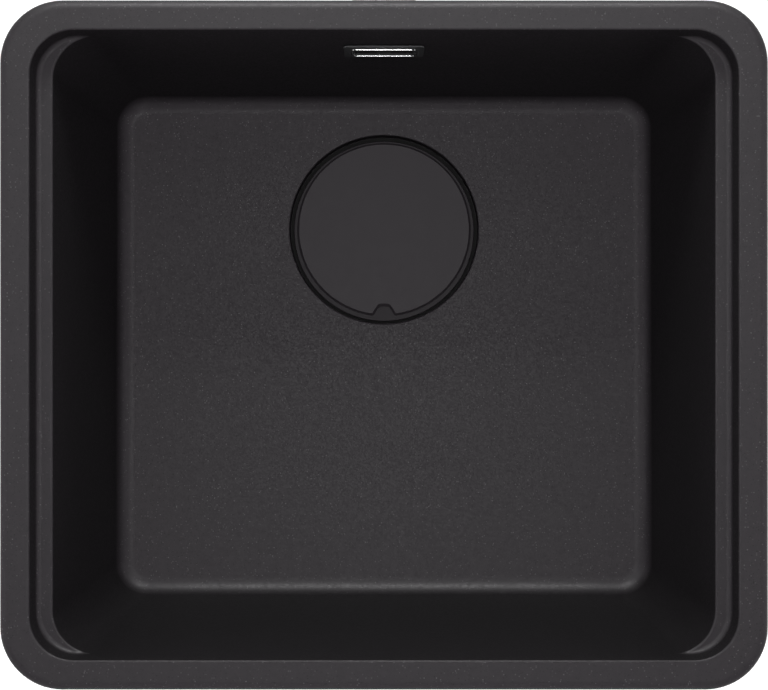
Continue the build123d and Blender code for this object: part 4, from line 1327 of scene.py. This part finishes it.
@dataclass
class Studio:
    """Plain studio: pale floor, white walls, softboxes above and on all sides, and a camera overhead."""

    camera_height: float = 0.766
    focal_px: float = 1207.9
    image_px: float = 768.0
    sensor_mm: float = 36.0
    floor_z: float = -0.306
    floor_half: float = 6.0
    floor_glow: float = 0.7
    wall_light: float = 0.9
    ceiling_light: float = 0.06
    wall_fade: Pair = (0.1, 0.38)
    lamps: tuple[Softbox, ...] = (
        Softbox("softbox_overhead", (0.0, -0.03, 3.8), (0.84, 0.92), 90.0),
        Softbox("strip_overhead", (0.0, 0.66, 1.9), (0.6, 0.15), 0.05),
        Softbox("softbox_behind", (0.0, 1.65, 1.05), (1.3, 0.6), 114.0, shine=True),
        Softbox("softbox_left", (-1.65, 0.0, 1.05), (1.3, 0.6), 16.0, shine=True),
        Softbox("softbox_right", (1.65, 0.0, 1.05), (1.3, 0.6), 13.0, shine=True),
        Softbox("softbox_front", (0.0, -1.65, 1.05), (1.3, 0.6), 12.0, shine=True),
    )

    def floor(self) -> None:
        """Lays a pale floor that shows white to the camera and keeps the object's shadow."""
        mesh = bpy.data.meshes.new("floor")
        half = self.floor_half
        around = ((-half, -half), (half, -half), (half, half), (-half, half))
        mesh.from_pydata([(x, y, self.floor_z) for x, y in around], [], [(0, 1, 2, 3)])
        plane = add_object("floor", mesh)
        material = bpy.data.materials.new("pale_paper_floor")
        material.use_nodes = True
        tree = material.node_tree
        tree.nodes.clear()
        seen = self.seen(tree)
        paper = add_node(tree, "ShaderNodeBsdfDiffuse", {"Color": linear("E6E6E6")})
        glow = add_node(tree, "ShaderNodeEmission", {"Color": linear("FFFFFF"), "Strength": seen})
        both = add_node(tree, "ShaderNodeAddShader", {0: paper.outputs[0], 1: glow.outputs[0]})
        add_node(tree, "ShaderNodeOutputMaterial", {"Surface": both.outputs[0]})
        mesh.materials.append(material)

    def seen(self, tree: Tree) -> Socket:
        """Strength of the floor's glow: for camera, mirror and glass rays only, all others get 0.

        Args:
            tree: Node tree to add to.

        Returns:
            The strength's socket.
        """
        path = add_node(tree, "ShaderNodeLightPath")
        most = path.outputs["Is Camera Ray"]
        for name in ("Is Glossy Ray", "Is Transmission Ray"):
            most = calc(tree, "MAXIMUM", most, path.outputs[name])
        return calc(tree, "MULTIPLY", most, self.floor_glow)

    def world(self) -> None:
        """White walls round the horizon under a dim ceiling, which gives the low fill."""
        world = bpy.data.worlds.new("studio")
        world.use_nodes = True
        bpy.context.scene.world = world
        tree = world.node_tree
        look = add_node(tree, "ShaderNodeTexCoord").outputs["Generated"]
        height = add_node(tree, "ShaderNodeSeparateXYZ", {0: look}).outputs["Z"]
        strength = span(tree, height, self.wall_fade, (self.wall_light, self.ceiling_light))
        tree.nodes["Background"].inputs["Color"].default_value = linear("FFFFFF")
        tree.links.new(strength, tree.nodes["Background"].inputs["Strength"])

    def camera(self) -> None:
        """Sets the camera straight above the bowl's middle, looking down with the back at the top."""
        data = bpy.data.cameras.new("overhead")
        data.sensor_fit = "HORIZONTAL"
        data.sensor_width = self.sensor_mm
        data.lens = self.focal_px / self.image_px * self.sensor_mm
        camera = add_object("overhead", data)
        camera.location = (0.0, 0.0, self.camera_height)
        bpy.context.scene.camera = camera

    def build(self) -> None:
        """Sets up the whole studio."""
        self.floor()
        self.world()
        for lamp in self.lamps:
            lamp.build()
        self.camera()
        bpy.context.scene.view_settings.view_transform = "Standard"


def main() -> None:
    """Builds and dresses the sink, then the studio round it."""
    logging.basicConfig(level=logging.INFO, format="%(message)s")
    # Quartz sand in dark resin: matt grey-black with fine pale grains and a dull sheen on its roundings.
    granite = GraniteComposite(
        "granite_composite_cast", "2E2A2E", "312D31", 0.55, specular=0.165, grain_mm=0.7, relief_mm=0.008
    )
    # Powder coat in the stone's colour: the same sheen, even and without grains.
    lid = Finish(
        "powder_coat_lid", "312D31", "332F33", 0.53, specular=0.15, grain_mm=0.4, roughness_swing=0.02
    )
    flange = Finish(
        "powder_coat_flange", "1F1B1F", "221E22", 0.53, specular=0.13, grain_mm=0.4, roughness_swing=0.02
    )
    # Anthracite coat on thin sheet: greyer than the stone, so that the plate stands out on the wall.
    plate = Finish("powder_coat_anthracite", "48484A", "4C4C4E", 0.6, specular=0.15, grain_mm=0.4)
    # Plating: a clear mirror whose faint waviness breaks up the highlights.
    chrome = Finish(
        "chrome_plated_brass", "C4C5C5", "BCBDBE", 0.07, 1.0,
        roughness_swing=0.03, relief_mm=0.0005, grain_mm=8.0,
    )
    # Drawn sheet: brushing runs round the basket and stretches the highlights upwards.
    steel = Finish(
        "brushed_stainless_sheet", "B4B4B2", "A5A5A3", 0.3, 1.0, pattern_mm=0.8, stretch=(1.0, 1.0, 14.0)
    )
    # Zinc: a soft metal sheen with cloudy patches.
    zinc = Finish("zinc_plated_strip", "A9AAA6", "96978F", 0.38, 1.0, pattern_mm=5.0, roughness_swing=0.1)
    screw = Finish("zinc_plated_screw", "A3A4A0", "8F908A", 0.32, 1.0, pattern_mm=3.0, roughness_swing=0.1)
    # Turned brass: a warm metal with fine rings from the tool.
    brass = Finish("turned_brass", "C09A4C", "AB8740", 0.28, 1.0, pattern_mm=0.6, stretch=(6.0, 6.0, 1.0))
    # Moulded plastics: dark, with a satin shine and a fine mould grain.
    waste = Finish(
        "moulded_polypropylene_black", "1B1B1C", "202021", 0.48, ior=1.49, grain_mm=0.25, relief_mm=0.015
    )
    nut = Finish(
        "moulded_polypropylene_nut", "171718", "1B1B1C", 0.42, ior=1.49, grain_mm=0.25, relief_mm=0.015
    )
    knob = Finish("moulded_acetal_knob", "1F1F20", "242425", 0.35, ior=1.48, grain_mm=0.3)
    hose = Finish("blow_moulded_polypropylene", "77787A", "6E6F71", 0.45, ior=1.49, pattern_mm=12.0)
    # Rubber: nearly black and dull. In the gap round the brim this dark colour is partly painted shade,
    # standing in for the shade that falls there.
    rubber = Finish(
        "moulded_rubber", "0B0B0B", "101010", 0.85, ior=1.52, specular=0.2, pattern_mm=4.0, grain_mm=0.4
    )
    Casting().build(granite)
    Drain().build(lid, flange, waste, knob, rubber)
    Overflow().build(plate, chrome, waste, hose, nut)
    WorktopClamps().build(screw, zinc)
    dress_nodes(["strainer_basket", "plug_stem", "plug_retainer"], steel.build())
    dress_nodes(["waste_bolt", "overflow_screw"], screw.build())
    dress_nodes(["bolt_insert", "clamp_inserts"], brass.build())
    dress_nodes(["basket_bush"], nut.build())
    # The flange seal's near-black rubber shows in the gap round the brim, where it is partly painted shade.
    dress_nodes(["cover_pads", "flange_seal", "body_seal", "overflow_seal", "hose_seals"], rubber.build())
    Studio().build()


if __name__ == "__main__":
    main()
